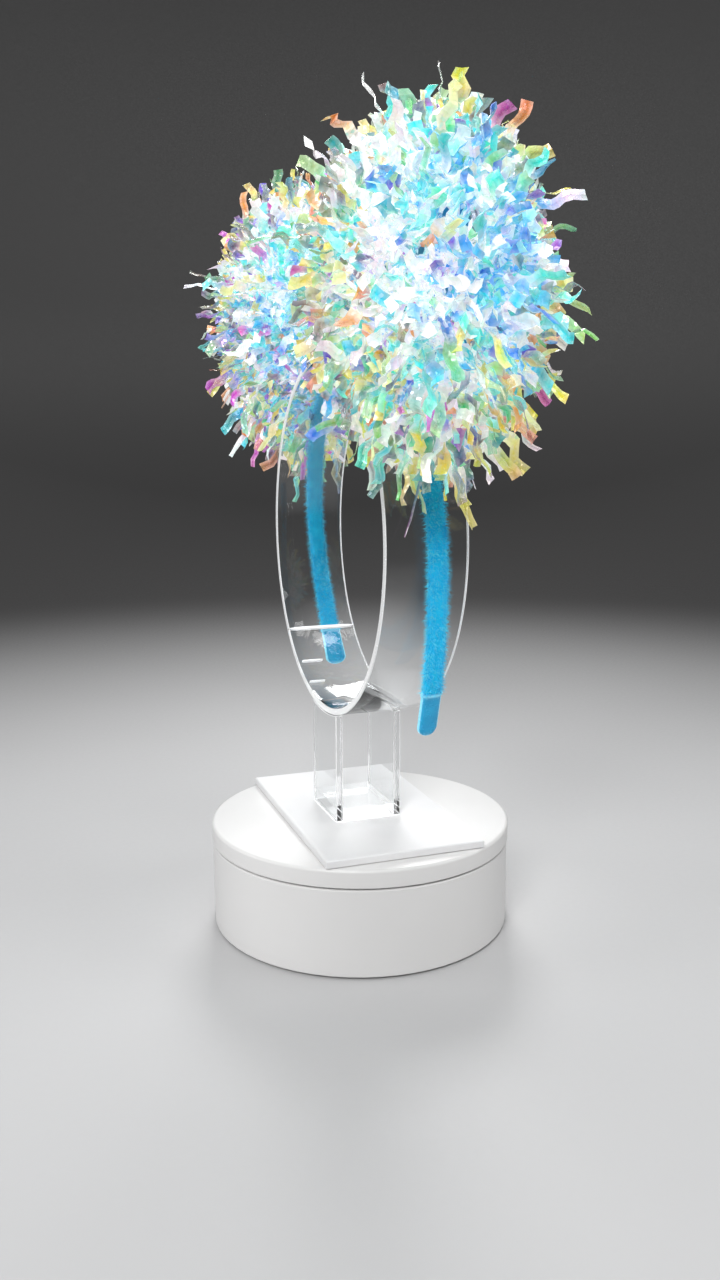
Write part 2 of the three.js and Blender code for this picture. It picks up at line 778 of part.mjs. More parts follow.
const base_plate = new THREE.ExtrudeGeometry(rectangle(base_width - 0.8, base_length - 0.8), {
  depth: base_thickness - 0.8,
  bevelThickness: 0.4,
  bevelSize: 0.4,
  bevelSegments: 1,
});
add(stand, "stand_base", base_plate.translate(0, 0, 0.4), looks.frosted);
const upright_left = upright_offset - upright_spacing / 2;
const upright_right = upright_offset + upright_spacing / 2;
add(stand, "upright_left", upright(), looks.clear, upright_left, 0, 0);
add(stand, "upright_right", upright(), looks.clear, upright_right, 0, 0);
const bar_reach = upright_spacing / 2 - upright_thickness / 2 - 0.1;
add(
  stand,
  "foot_bar",
  block([-bar_reach, -upright_width / 2, 0.1], [bar_reach, upright_width / 2, foot_bar_height]),
  looks.clear,
  upright_offset,
  0,
  base_thickness,
);
add(stand, "ring", ring(), looks.clear, 0, 0, ring_height);

// ---------------------------------------------------------------- headband

const headband = new THREE.Group();
headband.position.set(hoop_shift, 0, ring_height);
headband.rotation.set(0, -tilt, -radians(hoop_turn));
stand.add(headband);

// The hoop's middle line, in its own YZ plane: a leg, half a circle, and the other leg. A leg
// draws in as the square of its drop below the ring's middle, and the two are bent
// opposite ways along X.
class HoopPath extends THREE.Curve {
  constructor(drop) {
    super();
    this.drop = drop;
    this.arc = Math.PI * hoop_radius;
  }

  getPoint(t, target = new THREE.Vector3()) {
    const along = t * (this.arc + 2 * this.drop);
    const past = along - this.drop - this.arc;
    const drop = Math.max(-(along - this.drop), past);
    if (drop <= 0) {
      const angle = (along - this.drop) / hoop_radius;
      return target.set(0, -hoop_radius * Math.cos(angle), hoop_radius * Math.sin(angle));
    }
    const side = past > 0 ? 1 : -1;
    return target.set(legBend(side, drop), side * legPlace(drop), -drop);
  }
}
const legPlace = (drop) => hoop_radius - leg_inset * (drop / leg_drop) ** 2;
const legBend = (side, drop) => side * leg_twist * (drop / leg_drop) ** 1.3;

function swept(shape, drop, steps) {
  return new THREE.ExtrudeGeometry(shape, { steps, extrudePath: new HoopPath(drop) });
}

const core_drop = leg_drop - 4.2;
const plush_drop = leg_drop - tip_length;
const core_shape = rectangle(core_width, core_thickness);
add(headband, "hoop_core", solid(swept(core_shape, core_drop, 44)), looks.white);

const plush_shape = rectangle(plush_width, plush_thickness, plush_round, 2);
const plush_outer = solid(swept(plush_shape, plush_drop, 44));
const room_shape = rectangle(core_width + 2 * slack, core_thickness + 2 * slack);
const core_room = solid(swept(room_shape, leg_drop, 44));
add(headband, "plush_sleeve", plush_outer.subtract(core_room), looks.blue);

// A soft cap over the end of a leg, with a pocket for the hoop's core.
function tip(side) {
  const outline = rectangle(tip_width, 2 * tip_length, tip_width / 2 - 0.1, 5);
  const body = solid(extruded(outline, tip_thickness).translate(0, 0, -tip_thickness / 2));
  const pocket_width = core_width / 2 + slack;
  const pocket_depth = core_thickness / 2 + slack;
  const floor = -tip_length + 3.5 - slack;
  const pocket = block([-pocket_width, floor, -pocket_depth], [pocket_width, tip_length, pocket_depth]);
  const above = block([-tip_width, -slack, -tip_width], [tip_width, 2 * tip_length, tip_width]);
  const made = geometryOf(body.subtract(above).subtract(pocket));
  // stand the cap up, and lean it along the leg's chord
  const lean = Math.atan2(legPlace(plush_drop) - legPlace(leg_drop), tip_length);
  const bend = Math.atan2(legBend(side, plush_drop) - legBend(side, leg_drop), tip_length);
  made.rotateX(Math.PI / 2).rotateX(-side * lean).rotateY(bend);
  return made.translate(legBend(side, plush_drop), side * legPlace(plush_drop), -plush_drop);
}
add(headband, "tip_near", tip(-1), looks.tip);
add(headband, "tip_far", tip(1), looks.tip);

// Each ear has its own frame: local Z points outwards from the hoop, X stays along the ring.
const ear_seat = -ear_reach + plush_thickness / 2 + slack; // the saddle's underside, in the ear's frame

// Leans a geometry about the tangent at the saddle.
function leaned(geometry, side) {
  const lean = radians(side < 0 ? near_ear_lean : far_ear_lean);
  return geometry.translate(0, 0, -ear_seat).rotateY(lean).translate(0, 0, ear_seat);
}

function earFrame(side) {
  const loop = new THREE.TorusGeometry(ear_frame_radius, ear_wire_radius, 6, 32);
  const neck = rod(1.6, ear_seat + 0.6, -ear_frame_radius + 0.4, 0, 0, 12);
  const outside = hoop_radius + plush_thickness / 2 + slack;
  const saddle = block([-3, -7, -1], [3, 7, 8])
    .subtract(rodX(outside, -9, 9, 0, -outside, 144))
    .intersect(rodX(outside + 1, -9, 9, 0, -outside, 144));
  const seat = solid(geometryOf(saddle).translate(0, 0, ear_seat));
  const wire = geometryOf(solid(loop.rotateY(Math.PI / 2)).add(neck));
  return solid(leaned(wire, side)).add(seat);
}

function earPad(side) {
  const half = ear_pad_thickness / 2;
  const edge = ear_frame_radius - ear_wire_radius - slack;
  const profile = [[0, -half], [edge - 1.5, -half], [edge, -half + 1.5], [edge, half - 1.5],
    [edge - 1.5, half], [0, half]];
  return leaned(geometryOf(turned(profile, 32)).rotateY(Math.PI / 2), side);
}

// A band of thread round the sleeve and the saddle, on one side of the neck.
function binding(side) {
  const height = plush_thickness + 3.4;
  const outer = rectangle(plush_width + 2.6, height + 1.4, 1.6, 3);
  const inner = rectangle(plush_width + 0.8, height, 1, 3);
  outer.holes.push(new THREE.Path(inner.getPoints()));
  const band = extruded(outer, 3.2).translate(0, 0, -1.6);
  const middle = ear_seat + height / 2 - plush_thickness - slack - 0.8;
  // its ends stop at the sleeve's underside, which rests on the ring
  const ground = hoop_radius - plush_thickness / 2 + slack;
  const below = rodX(ground, -20, 20, 0, -hoop_radius - ear_reach, 144);
  return solid(band.rotateX(Math.PI / 2).translate(0, side * 4.6, middle)).subtract(below);
}

// The space that the tinsel keeps clear, in the ear's frame.
function tinselClearance(side) {
  const keep = 0.6;
  const half = ear_pad_thickness / 2 + keep;
  const flat = rodX(ear_frame_radius + ear_wire_radius + keep, -half, half, 0, 0, 32);
  const disc = solid(leaned(geometryOf(flat), side));
  const neck = block([-4.4, -7.6, ear_seat - 8], [4.4, 7.6, -ear_frame_radius + 2]);
  const half_band = plush_width / 2 + 2.5;
  const band = block([-half_band, -9, ear_seat - 8], [half_band, 9, ear_seat + 4.5]);
  // the ring's own cylinder, which isn't tilted with the hoop, wide enough for the sleeve
  const drum = new THREE.CylinderGeometry(hoop_radius + 4, hoop_radius + 4, 200, 96);
  drum.rotateZ(Math.PI / 2).rotateZ(radians(hoop_turn)).rotateY(tilt);
  // everything past the plane that parts the two ears
  const wall = new THREE.BoxGeometry(300, 300, 400).translate(0, -side * (150 - ear_parting), 0);
  for (const made of [drum, wall]) {
    made.rotateX(side * radians(ear_angle)).translate(0, 0, -hoop_radius - ear_reach);
  }
  return disc.add(neck).add(band).add(solid(drum)).add(solid(wall));
}

// Strips of film that fan out from a lens-shaped root. Their directions follow a golden-angle
// spiral, so that they are evenly spread.
function tinsel(side) {
  let made = solid(
    new THREE.SphereGeometry(1, 18, 9).scale(tinsel_root_depth, tinsel_root_radius, tinsel_root_radius),
  );
  const golden = Math.PI * (3 - Math.sqrt(5));
  for (let i = 0; i < strip_count; i += 1) {
    const height = 1 - (2 * (i + 0.5)) / strip_count;
    const flat = Math.sqrt(1 - height * height);
    const round = golden * i;
    const way = new THREE.Vector3(height, side * flat * Math.cos(round), flat * Math.sin(round));
    const reach = 0.94 + 0.06 * Math.sin(2.4 * i);
    const start = way.clone().multiply(
      new THREE.Vector3(tinsel_root_depth, tinsel_root_radius, tinsel_root_radius).multiplyScalar(0.7),
    );
    const end = way.clone().multiply(
      new THREE.Vector3(tinsel_depth, tinsel_radius, tinsel_radius).multiplyScalar(reach),
    );
    const length = start.distanceTo(end);
    const strip = new THREE.BoxGeometry(strip_width, strip_thickness, length);
    strip.translate(0, 0, length / 2).rotateZ(2.1 * i);
    const turn = new THREE.Quaternion().setFromUnitVectors(
      new THREE.Vector3(0, 0, 1),
      end.clone().sub(start).normalize(),
    );
    strip.applyQuaternion(turn).translate(start.x, start.y, start.z);
    made = made.add(solid(strip));
  }
  const trimmed = solid(leaned(geometryOf(made), side)).subtract(tinselClearance(side));
  // a strip that was cut through leaves an offcut, so only the body that holds the root is kept
  return trimmed.decompose().reduce((best, piece) => (piece.volume() > best.volume() ? piece : best));
}

for (const [name, side] of [["near", -1], ["far", 1]]) {
  const ear = new THREE.Group();
  const angle = radians(ear_angle);
  const reach = hoop_radius + ear_reach;
  ear.rotation.x = side * -angle;
  ear.position.set(0, side * reach * Math.sin(angle), reach * Math.cos(angle));
  headband.add(ear);
  add(ear, `ear_frame_${name}`, earFrame(side), looks.steel);
  add(ear, `ear_pad_${name}`, earPad(side), looks.blue);
  add(ear, `ear_binding_${name}`, binding(side), looks.blue);
  add(ear, `tinsel_${name}`, tinsel(side), looks.tinsel);
}

export default model;
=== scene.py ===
# %% [markdown]
# # Tinsel-ear headband on a clear ring stand
# A shop display set: a blue plush headband with two big puffs of iridescent film, hung over a
# clear acrylic ring that stands on a small white turntable. The measured solids come in first as
# a fixed frame. Each cell then adds one visible piece or one finish in the same frame, in metres,
# with +Z up, the turntable's axis at the origin and the ring's axis along X.

# %% Load the frame
import json
import math

import bmesh
import bpy
import numpy as np
from mathutils import Matrix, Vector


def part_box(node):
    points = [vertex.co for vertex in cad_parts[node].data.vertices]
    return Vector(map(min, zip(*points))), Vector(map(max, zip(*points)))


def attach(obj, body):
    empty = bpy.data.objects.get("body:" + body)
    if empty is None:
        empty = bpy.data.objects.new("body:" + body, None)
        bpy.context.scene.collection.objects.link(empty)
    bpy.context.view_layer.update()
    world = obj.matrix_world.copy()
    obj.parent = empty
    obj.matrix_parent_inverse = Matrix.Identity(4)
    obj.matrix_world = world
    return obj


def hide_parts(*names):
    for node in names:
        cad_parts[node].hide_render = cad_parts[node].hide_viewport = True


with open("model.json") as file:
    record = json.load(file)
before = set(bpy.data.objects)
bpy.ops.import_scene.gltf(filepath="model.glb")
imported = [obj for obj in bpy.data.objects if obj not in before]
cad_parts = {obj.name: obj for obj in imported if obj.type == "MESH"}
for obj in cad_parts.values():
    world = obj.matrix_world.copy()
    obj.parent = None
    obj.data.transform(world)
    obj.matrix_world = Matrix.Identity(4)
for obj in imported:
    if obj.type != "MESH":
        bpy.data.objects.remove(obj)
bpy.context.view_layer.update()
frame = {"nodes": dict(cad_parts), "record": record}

MM = 0.001

# %% [markdown]
# ## Camera
# The viewpoint is a hand-held one: 19 degrees to the left of the ring's side, a little above the
# ring's middle and 0.42 m from it, with a 30 mm lens on a 36 mm tall sensor. The three axes of the
# camera are written as the columns of its matrix, with a roll of a quarter of a degree.

# %% Place the camera
def camera_matrix(place, forward, roll):
    """Columns right, up and back; right is forward x Z, turned by the roll about forward."""
    forward = np.array(forward) / np.linalg.norm(forward)
    right = np.cross(forward, (0, 0, 1))
    right /= np.linalg.norm(right)
    up = np.cross(right, forward)
    c, s = math.cos(roll), math.sin(roll)
    columns = (c * right + s * up, c * up - s * right, -forward)
    matrix = np.eye(4)
    matrix[:3, :3] = np.stack(columns, 1)
    matrix[:3, 3] = place
    return Matrix(matrix.tolist())


eye = bpy.data.objects.new("camera", bpy.data.cameras.new("camera"))
bpy.context.scene.collection.objects.link(eye)
eye.data.sensor_width = 36.0
eye.data.lens = 30.0
eye.data.clip_start = 0.01
eye.matrix_world = camera_matrix((-0.1381, -0.3932, 0.1907), (0.3266, 0.9277, -0.1806), -0.004)
bpy.context.scene.camera = eye

# %% [markdown]
# ## Floor, light and surroundings
# Clear plastic has no colour of its own, so it only reads through what it bends and reflects. A
# pale floor that turns darker with distance and curves up into a dark wall gives its edges
# something to draw with, and it has no corner or horizon. It is one turned profile, wide enough
# for every camera to stay inside it.

# %% Build surfaces from arrays
def grid_faces(rows, columns, close_rows=False, close_columns=False):
    """Four-cornered faces of a rows x columns grid of points, numbered row by row."""
    r = np.arange(rows if close_rows else rows - 1)[:, None]
    c = np.arange(columns if close_columns else columns - 1)[None, :]
    r2, c2 = (r + 1) % rows, (c + 1) % columns
    return np.stack([r * columns + c, r * columns + c2, r2 * columns + c2, r2 * columns + c],
                    -1).reshape(-1, 4)


def make_mesh(name, points, faces, smooth=40.0):
    """A mesh object at the origin. Edges sharper than the smooth angle, in degrees, stay crisp."""
    mesh = bpy.data.meshes.new(name)
    mesh.from_pydata(np.asarray(points, float).reshape(-1, 3).tolist(), [],
                     [list(map(int, f)) for f in faces])
    mesh.validate()
    mesh.polygons.foreach_set("use_smooth", np.ones(len(mesh.polygons), bool))
    mesh.set_sharp_from_angle(angle=math.radians(smooth))
    made = bpy.data.objects.new(name, mesh)
    bpy.context.scene.collection.objects.link(made)
    return made


def face_outwards(piece, join=0.0):
    """Turns the faces of closed shells outwards, and first joins points that nearly meet."""
    work = bmesh.new()
    work.from_mesh(piece.data)
    bmesh.ops.remove_doubles(work, verts=work.verts, dist=join)
    bmesh.ops.recalc_face_normals(work, faces=work.faces)
    work.to_mesh(piece.data)
    work.free()
    return piece


def lathe(name, profile, sides, smooth=40.0):
    """Each (radius, height) pair goes round Z: (r cos a, r sin a, h). Both ends are on the axis."""
    profile = np.array(profile)
    turn = np.linspace(0, 2 * np.pi, sides, endpoint=False)[:, None]
    points = np.stack([profile[:, 0] * np.cos(turn), profile[:, 0] * np.sin(turn),
                       np.broadcast_to(profile[:, 1], (sides, len(profile)))], -1)
    faces = grid_faces(sides, len(profile), True)
    return face_outwards(make_mesh(name, points, faces, smooth), 0.001 * MM)


# %% Sweep the floor up into a wall
reach, bend, rim = 0.95, 0.42, 1.7
sweep_sides, floor_rings = 96, 12
quarter = np.linspace(0, np.pi / 2, 20)[1:]
radii = np.concatenate([np.linspace(0.0005, reach, floor_rings), reach + bend * np.sin(quarter),
                        [reach + bend]])
heights = np.concatenate([np.zeros(floor_rings), bend - bend * np.cos(quarter), [rim]])
turn = np.linspace(0, 2 * np.pi, sweep_sides, endpoint=False)[:, None]
sweep_points = np.stack([radii * np.cos(turn), radii * np.sin(turn),
                         np.broadcast_to(heights, (sweep_sides, len(heights)))], -1)
sweep_faces = grid_faces(sweep_sides, len(radii), True).tolist()
# the innermost ring of points is closed by one face
sweep_faces.append(list(range(0, sweep_sides * len(radii), len(radii))))
studio = make_mesh("studio_sweep", sweep_points, sweep_faces, 60)
print("sweep:", round(reach, 2), "m of flat floor, wall up to", rim, "m")

# %% [markdown]
# ## A helper for finishes
# Every finish starts from the same recipe: the Principled shader, a slow cloud of colour that
# mixes two close shades, and a fine grain that lifts the surface. Numbers that are the same all
# over are typed straight into the shader's sockets. Patterns read Object coordinates, which are
# the true metres of the piece, so a grain keeps its real size on every part.

# %% Write the finish helper
def finish(name, shade, other, cloud, grain, lift, distance=0.0001, rough=(0.4, 0.5), **sockets):
    """Base colour = mix(shade, other, noise at cloud per metre); height = noise at grain."""
    made = bpy.data.materials.new(name)
    made.use_nodes = True
    tree = made.node_tree
    shader = tree.nodes["Principled BSDF"]
    place = tree.nodes.new("ShaderNodeTexCoord")
    slow = tree.nodes.new("ShaderNodeTexNoise")
    slow.inputs["Scale"].default_value = cloud
    slow.inputs["Detail"].default_value = 3.0
    tree.links.new(place.outputs["Object"], slow.inputs["Vector"])
    ramp = tree.nodes.new("ShaderNodeValToRGB")
    ramp.color_ramp.elements[0].position = 0.35
    ramp.color_ramp.elements[1].position = 0.65
    ramp.color_ramp.elements[0].color = (*shade, 1)
    ramp.color_ramp.elements[1].color = (*other, 1)
    tree.links.new(slow.outputs["Fac"], ramp.inputs["Fac"])
    tree.links.new(ramp.outputs["Color"], shader.inputs["Base Color"])
    spread = tree.nodes.new("ShaderNodeMapRange")
    spread.inputs["From Min"].default_value = 0.3
    spread.inputs["From Max"].default_value = 0.7
    spread.inputs["To Min"].default_value = rough[0]
    spread.inputs["To Max"].default_value = rough[1]
    fine = tree.nodes.new("ShaderNodeTexNoise")
    fine.inputs["Scale"].default_value = grain
    fine.inputs["Detail"].default_value = 2.0
    tree.links.new(place.outputs["Object"], fine.inputs["Vector"])
    tree.links.new(fine.outputs["Fac"], spread.inputs["Value"])
    tree.links.new(spread.outputs["Result"], shader.inputs["Roughness"])
    bump = tree.nodes.new("ShaderNodeBump")
    bump.inputs["Strength"].default_value = lift
    bump.inputs["Distance"].default_value = distance
    tree.links.new(fine.outputs["Fac"], bump.inputs["Height"])
    tree.links.new(bump.outputs["Normal"], shader.inputs["Normal"])
    for socket, value in sockets.items():
        shader.inputs[socket.replace("_", " ")].default_value = value
    return made


def paint(piece, material):
    """Puts one material on a piece, in place of any that it has."""
    piece.data.materials.clear()
    piece.data.materials.append(material)


# %% Paint the sweep
sweep_paint = finish("sweep_paint", (0.52, 0.52, 0.525), (0.5, 0.5, 0.505), 3, 400, 0.05,
                     rough=(0.45, 0.55), Specular_IOR_Level=0.35)
tree = sweep_paint.node_tree
shader = tree.nodes["Principled BSDF"]
away = tree.nodes.new("ShaderNodeVectorMath")
away.operation = "LENGTH"
darken = tree.nodes.new("ShaderNodeMapRange")
darken.interpolation_type = "SMOOTHSTEP"
darken.inputs["From Min"].default_value = 0.12
darken.inputs["From Max"].default_value = 0.95
blend = tree.nodes.new("ShaderNodeMix")
blend.data_type = "RGBA"
blend.inputs[7].default_value = (0.075, 0.074, 0.074, 1)
tree.links.new(tree.nodes["Texture Coordinate"].outputs["Object"], away.inputs[0])
tree.links.new(away.outputs["Value"], darken.inputs["Value"])
tree.links.new(darken.outputs["Result"], blend.inputs["Factor"])
tree.links.new(tree.nodes["Color Ramp"].outputs["Color"], blend.inputs[6])
tree.links.new(blend.outputs[2], shader.inputs["Base Color"])
paint(studio, sweep_paint)


# %% [markdown]
# ## Light
# Five square softboxes light the set: a strong one high on the left, a weaker one on the right,
# and one each above, behind and far left, so that clear edges are drawn from every side. A sun
# lamp would be simpler, but plastic and film need broad reflections and not hard glints.

# %% Light the set
def softbox(name, place, target, size, watts, colour=(1, 1, 1)):
    """A square area light that faces a target point."""
    lamp = bpy.data.lights.new(name, "AREA")
    lamp.size, lamp.energy, lamp.color = size, watts, colour
    made = bpy.data.objects.new(name, lamp)
    bpy.context.scene.collection.objects.link(made)
    back = np.array(place, float) - np.array(target, float)
    made.matrix_world = camera_matrix(place, -back, 0.0)
    return made


softbox("key", (-0.5, -0.8, 0.85), (0, 0, 0.2), 0.45, 11)
softbox("fill", (0.9, -0.35, 0.6), (0, 0, 0.2), 0.6, 4)
softbox("top", (0.05, -0.05, 1.25), (0, 0, 0.2), 0.6, 5)
softbox("back", (0.3, 0.85, 0.7), (0, 0, 0.22), 0.35, 5)
softbox("left", (-0.95, 0.25, 0.45), (0, 0, 0.18), 0.4, 3)
world = bpy.data.worlds.new("studio_air")
bpy.context.scene.world = world
world.use_nodes = True
world.node_tree.nodes["Background"].inputs["Color"].default_value = (0.8, 0.82, 0.85, 1)
world.node_tree.nodes["Background"].inputs["Strength"].default_value = 0.2
bpy.context.scene.view_settings.view_transform = "Standard"
print("five softboxes lit")

# %% [markdown]
# ## Finishes of the turntable
# The case is white ABS from a spark-eroded mould: satin, with a grain finer than a fingerprint.
# The inner parts are steel, brass, nylon and rubber. They are mostly hidden, yet each one has its
# own finish, because the parts can be taken apart.

# %% Mix the turntable's finishes
white_abs = finish("white_abs", (0.75, 0.745, 0.74), (0.72, 0.715, 0.71), 14, 2600, 0.12,
                   distance=0.00004, rough=(0.36, 0.46), Specular_IOR_Level=0.5)
steel = finish("steel", (0.55, 0.56, 0.58), (0.46, 0.47, 0.49), 90, 1500, 0.15,
               distance=0.00003, rough=(0.24, 0.4), Metallic=1.0)
brass = finish("brass", (0.62, 0.45, 0.19), (0.52, 0.37, 0.15), 120, 1500, 0.1,
               distance=0.00003, rough=(0.28, 0.4), Metallic=1.0)
nylon = finish("nylon", (0.68, 0.65, 0.57), (0.62, 0.59, 0.51), 60, 1200, 0.1,
               rough=(0.45, 0.55))
rubber = finish("rubber", (0.07, 0.07, 0.072), (0.055, 0.055, 0.057), 80, 1400, 0.35,
                rough=(0.75, 0.9))
dark_plastic = finish("dark_plastic", (0.03, 0.03, 0.033), (0.024, 0.024, 0.026), 90, 2200, 0.25,
                      distance=0.00005, rough=(0.45, 0.6))
board_lacquer = finish("board_lacquer", (0.012, 0.16, 0.07), (0.02, 0.21, 0.09), 320, 900, 0.3,
                       rough=(0.25, 0.4))
cell_sleeve = finish("cell_sleeve", (0.05, 0.22, 0.09), (0.04, 0.19, 0.08), 60, 700, 0.08,
                     rough=(0.2, 0.32), Coat_Weight=0.6)
shaft_steel = finish("shaft_steel", (0.6, 0.6, 0.61), (0.52, 0.52, 0.53), 140, 2400, 0.08,
                     distance=0.00002, rough=(0.16, 0.26), Metallic=1.0)

# %% [markdown]
# ## Turntable
# The platter is turned, so it is one profile that starts and ends on the axis and goes round it in
# 192 steps, with the rolled top edge drawn as a quarter circle. The case has a recess, slots and
# bosses, so it keeps its measured solid: a copy has its doubles merged and its gentle edges
# smoothed.

# %% Turn the platter
platter_low, platter_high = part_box("platter")
radius, top = platter_high.x, platter_high.z
skirt, rolled, sheet, wall = platter_low.z, 1.2 * MM, 2.5 * MM, 2.2 * MM
ease = 0.3 * MM
edge = np.linspace(0, np.pi / 2, 9)
roll = [(radius - rolled + rolled * math.cos(a), top - rolled + rolled * math.sin(a)) for a in edge]
hub, hub_end = 8 * MM, top - 6.2 * MM
platter_profile = [(0, hub_end), (hub, hub_end), (hub, top - sheet),
                   (radius - wall, top - sheet), (radius - wall, skirt),
                   (radius - ease, skirt), (radius, skirt + ease)]
platter_profile += roll + [(radius * 0.5, top), (0, top)]
platter = lathe("turntable_top", platter_profile, 192, 30)
paint(platter, white_abs)
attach(platter, "turning_platter")
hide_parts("platter")
print("platter:", round(2 * radius / MM), "mm across, edge", round((top - skirt) / MM, 1), "mm")


# %% Smooth the measured parts
def smoothed(node, name, material, body, angle=35, bevel=0.0):
    """A CAD node's copy with doubles merged, flat faces joined and gentle edges shaded round."""
    source = frame["nodes"][node]
    mesh = source.data.copy()
    mesh.name = name
    work = bmesh.new()
    work.from_mesh(mesh)
    bmesh.ops.remove_doubles(work, verts=work.verts, dist=0.002 * MM)
    bmesh.ops.dissolve_limit(work, angle_limit=math.radians(0.3), verts=work.verts,
                             edges=work.edges)
    work.to_mesh(mesh)
    work.free()
    mesh.polygons.foreach_set("use_smooth", np.ones(len(mesh.polygons), bool))
    mesh.set_sharp_from_angle(angle=math.radians(angle))
    made = bpy.data.objects.new(name, mesh)
    bpy.context.scene.collection.objects.link(made)
    if bevel:
        round_off = made.modifiers.new("rounded_edges", "BEVEL")
        round_off.width, round_off.segments = bevel, 3
        round_off.limit_method, round_off.angle_limit = "ANGLE", math.radians(50)
    paint(made, material)
    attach(made, body)
    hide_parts(node)
    return made


smoothed("housing", "turntable_case", white_abs, "case", 30)
smoothed("bottom_cover", "underside_cover", white_abs, "case", 30)
smoothed("battery_door", "sliding_battery_door", white_abs, "battery_lid", 30)
for i in range(1, 5):
    smoothed(f"rubber_foot_{i}", f"foot_{i}", rubber, "case")
    smoothed(f"cover_screw_{i}", f"case_screw_{i}", steel, "case")
smoothed("speed_button", "button_cap", dark_plastic, "button")
smoothed("power_switch_slider", "switch_knob_cap", dark_plastic, "switch_knob")
print("case, cover, door, feet, screws and controls smoothed")

# %% [markdown]
# ## Inside the turntable
# The motor, the gears, the cells and the rest are seen only with the case open. They could be
# modelled again, but their measured meshes are already right, so only their finish is set, by
# the slot that the record gives each one.

# %% Paint the parts that keep their measured mesh
inner_finishes = {
    "white_plastic": white_abs, "steel": steel, "brass": brass, "nylon": nylon,
    "rubber": rubber, "cell": cell_sleeve, "board": board_lacquer, "dark_plastic": dark_plastic,
}
slots = {part["node"]: part["material_slot"] for part in frame["record"]["subparts"]}
for node, part in frame["nodes"].items():
    if slots[node] in inner_finishes:
        paint(part, inner_finishes[slots[node]])
for node in ["spindle", "motor_shaft", "roller_axle_1", "roller_axle_2", "roller_axle_3"]:
    paint(frame["nodes"][node], shaft_steel)
print(len(slots), "measured parts have a finish")

# %% [markdown]
# ## Clear acrylic
# Cast acrylic bends light by 1.49 and is polished on its faces. Where a sheet was cut, the edge
# is a little duller, and it is given a glow, a painted highlight, so it draws itself as a bright
# line. Faces and cut edges therefore get two finishes. The base plate is the frosted grade: it
# passes light but no image.

# %% Mix the stand's finishes
clear_face = finish("clear_face", (0.985, 0.992, 0.995), (0.97, 0.985, 0.99), 20, 900, 0.0015,
                    rough=(0.01, 0.025), Transmission_Weight=1.0, IOR=1.49)
# the cut-edge finish glows: its emission is a painted highlight along the cut edges
cut_edge_glow = finish("cut_edge_glow", (0.97, 0.98, 0.99), (0.92, 0.94, 0.95), 160, 1500, 0.03,
                  distance=0.00003, rough=(0.16, 0.28), Transmission_Weight=0.4, IOR=1.49,
                  Emission_Color=(1, 1, 1, 1), Emission_Strength=0.22)
# the foot bar's clear block also glows a little: its white emission is painted light that keeps it
# pale
block_clear_glow = finish("block_clear_glow", (0.985, 0.99, 0.99), (0.95, 0.965, 0.97), 60, 900, 0.03,
                     rough=(0.02, 0.06), Transmission_Weight=0.9, IOR=1.12,
                     Emission_Color=(1, 1, 1, 1), Emission_Strength=0.12)
frosted = finish("frosted_plate", (0.93, 0.93, 0.935), (0.88, 0.88, 0.89), 24, 2400, 0.1,
                 distance=0.00003, rough=(0.5, 0.6), Transmission_Weight=0.12, IOR=1.49,
                 Specular_IOR_Level=0.3)
# the weld's cloudy white is its own colour; its emission is a painted glow on top of it
weld_with_glow = finish("solvent_weld_with_glow", (0.97, 0.98, 0.99), (0.82, 0.84, 0.86), 700, 1400, 0.3,
              rough=(0.2, 0.35), Transmission_Weight=0.15, IOR=1.45,
              Emission_Color=(1, 1, 1, 1), Emission_Strength=0.3)

# %% [markdown]
# ## Ring
# The ring is one strip of clear sheet, bent hot until its ends meet. A torus would have a round
# section, and a tube given a wall by Solidify would have sharp edges. Here the strip's own section,
# with its edges rounded, is carried round the X axis, and it stops short of the seam on each side.

# %% Bend the ring
ring_low, ring_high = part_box("ring")
ring_middle = (ring_low.z + ring_high.z) / 2
ring_radius = (ring_high.z - ring_low.z) / 2
ring_half, ring_wall, seam = ring_high.x, 2.5 * MM, math.radians(-41.4)


def bent_strip(name, steps=288, rounding=0.35 * MM, gap=0.2 * MM):
    """A strip's rounded section (x, outward) carried round the X axis from seam to seam.

    point = (x, (R + h) cos a, (R + h) sin a), with h the section's height below the outside."""
    corner = np.linspace(0, np.pi / 2, 5)
    section = []
    for sx, sh, start in ((1, 1, 0), (-1, 1, 1), (-1, -1, 2), (1, -1, 3)):
        bend_at = corner + start * np.pi / 2
        section.append(np.stack([sx * (ring_half - rounding) + rounding * np.cos(bend_at),
                                 sh * (ring_wall / 2 - rounding) + rounding * np.sin(bend_at)], 1))
    section = np.vstack(section)
    angle = np.linspace(seam + gap / ring_radius, seam + 2 * np.pi - gap / ring_radius, steps)
    out = ring_radius - ring_wall / 2 + section[:, 1]
    points = np.stack([np.broadcast_to(section[:, 0], (steps, len(section))),
                       out * np.cos(angle)[:, None],
                       ring_middle + out * np.sin(angle)[:, None]], -1)
    n = len(section)
    faces = grid_faces(steps, n, False, True)[:, ::-1].tolist()
    faces += [list(range(n)), list(range((steps - 1) * n + n - 1, (steps - 1) * n - 1, -1))]
    print(name, steps, "steps of", n, "points")
    return face_outwards(make_mesh(name, points, faces, 50))


ring = bent_strip("clear_ring")
paint(ring, clear_face)
ring.data.materials.append(cut_edge_glow)
# the section's two short sides are the cut edges: faces whose middle is at the strip's ends
# these end faces take the cut-edge finish, whose glow is a painted highlight
middles = np.array([f.center[0] for f in ring.data.polygons])
ring.data.polygons.foreach_set("material_index",
                               (np.abs(middles) > ring_half - 0.3 * MM).astype(np.int32))
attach(ring, "clear_stand")
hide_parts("ring")
print("ring:", round(2 * ring_radius / MM), "mm across")


# %% [markdown]
# ## Solvent weld
# Solvent joins the strip's ends and dries as a cloudy line, with two short lines of it below. A
# pattern could paint them, but real ones stand a little proud, so each is a thin bar that
# narrows at its ends.

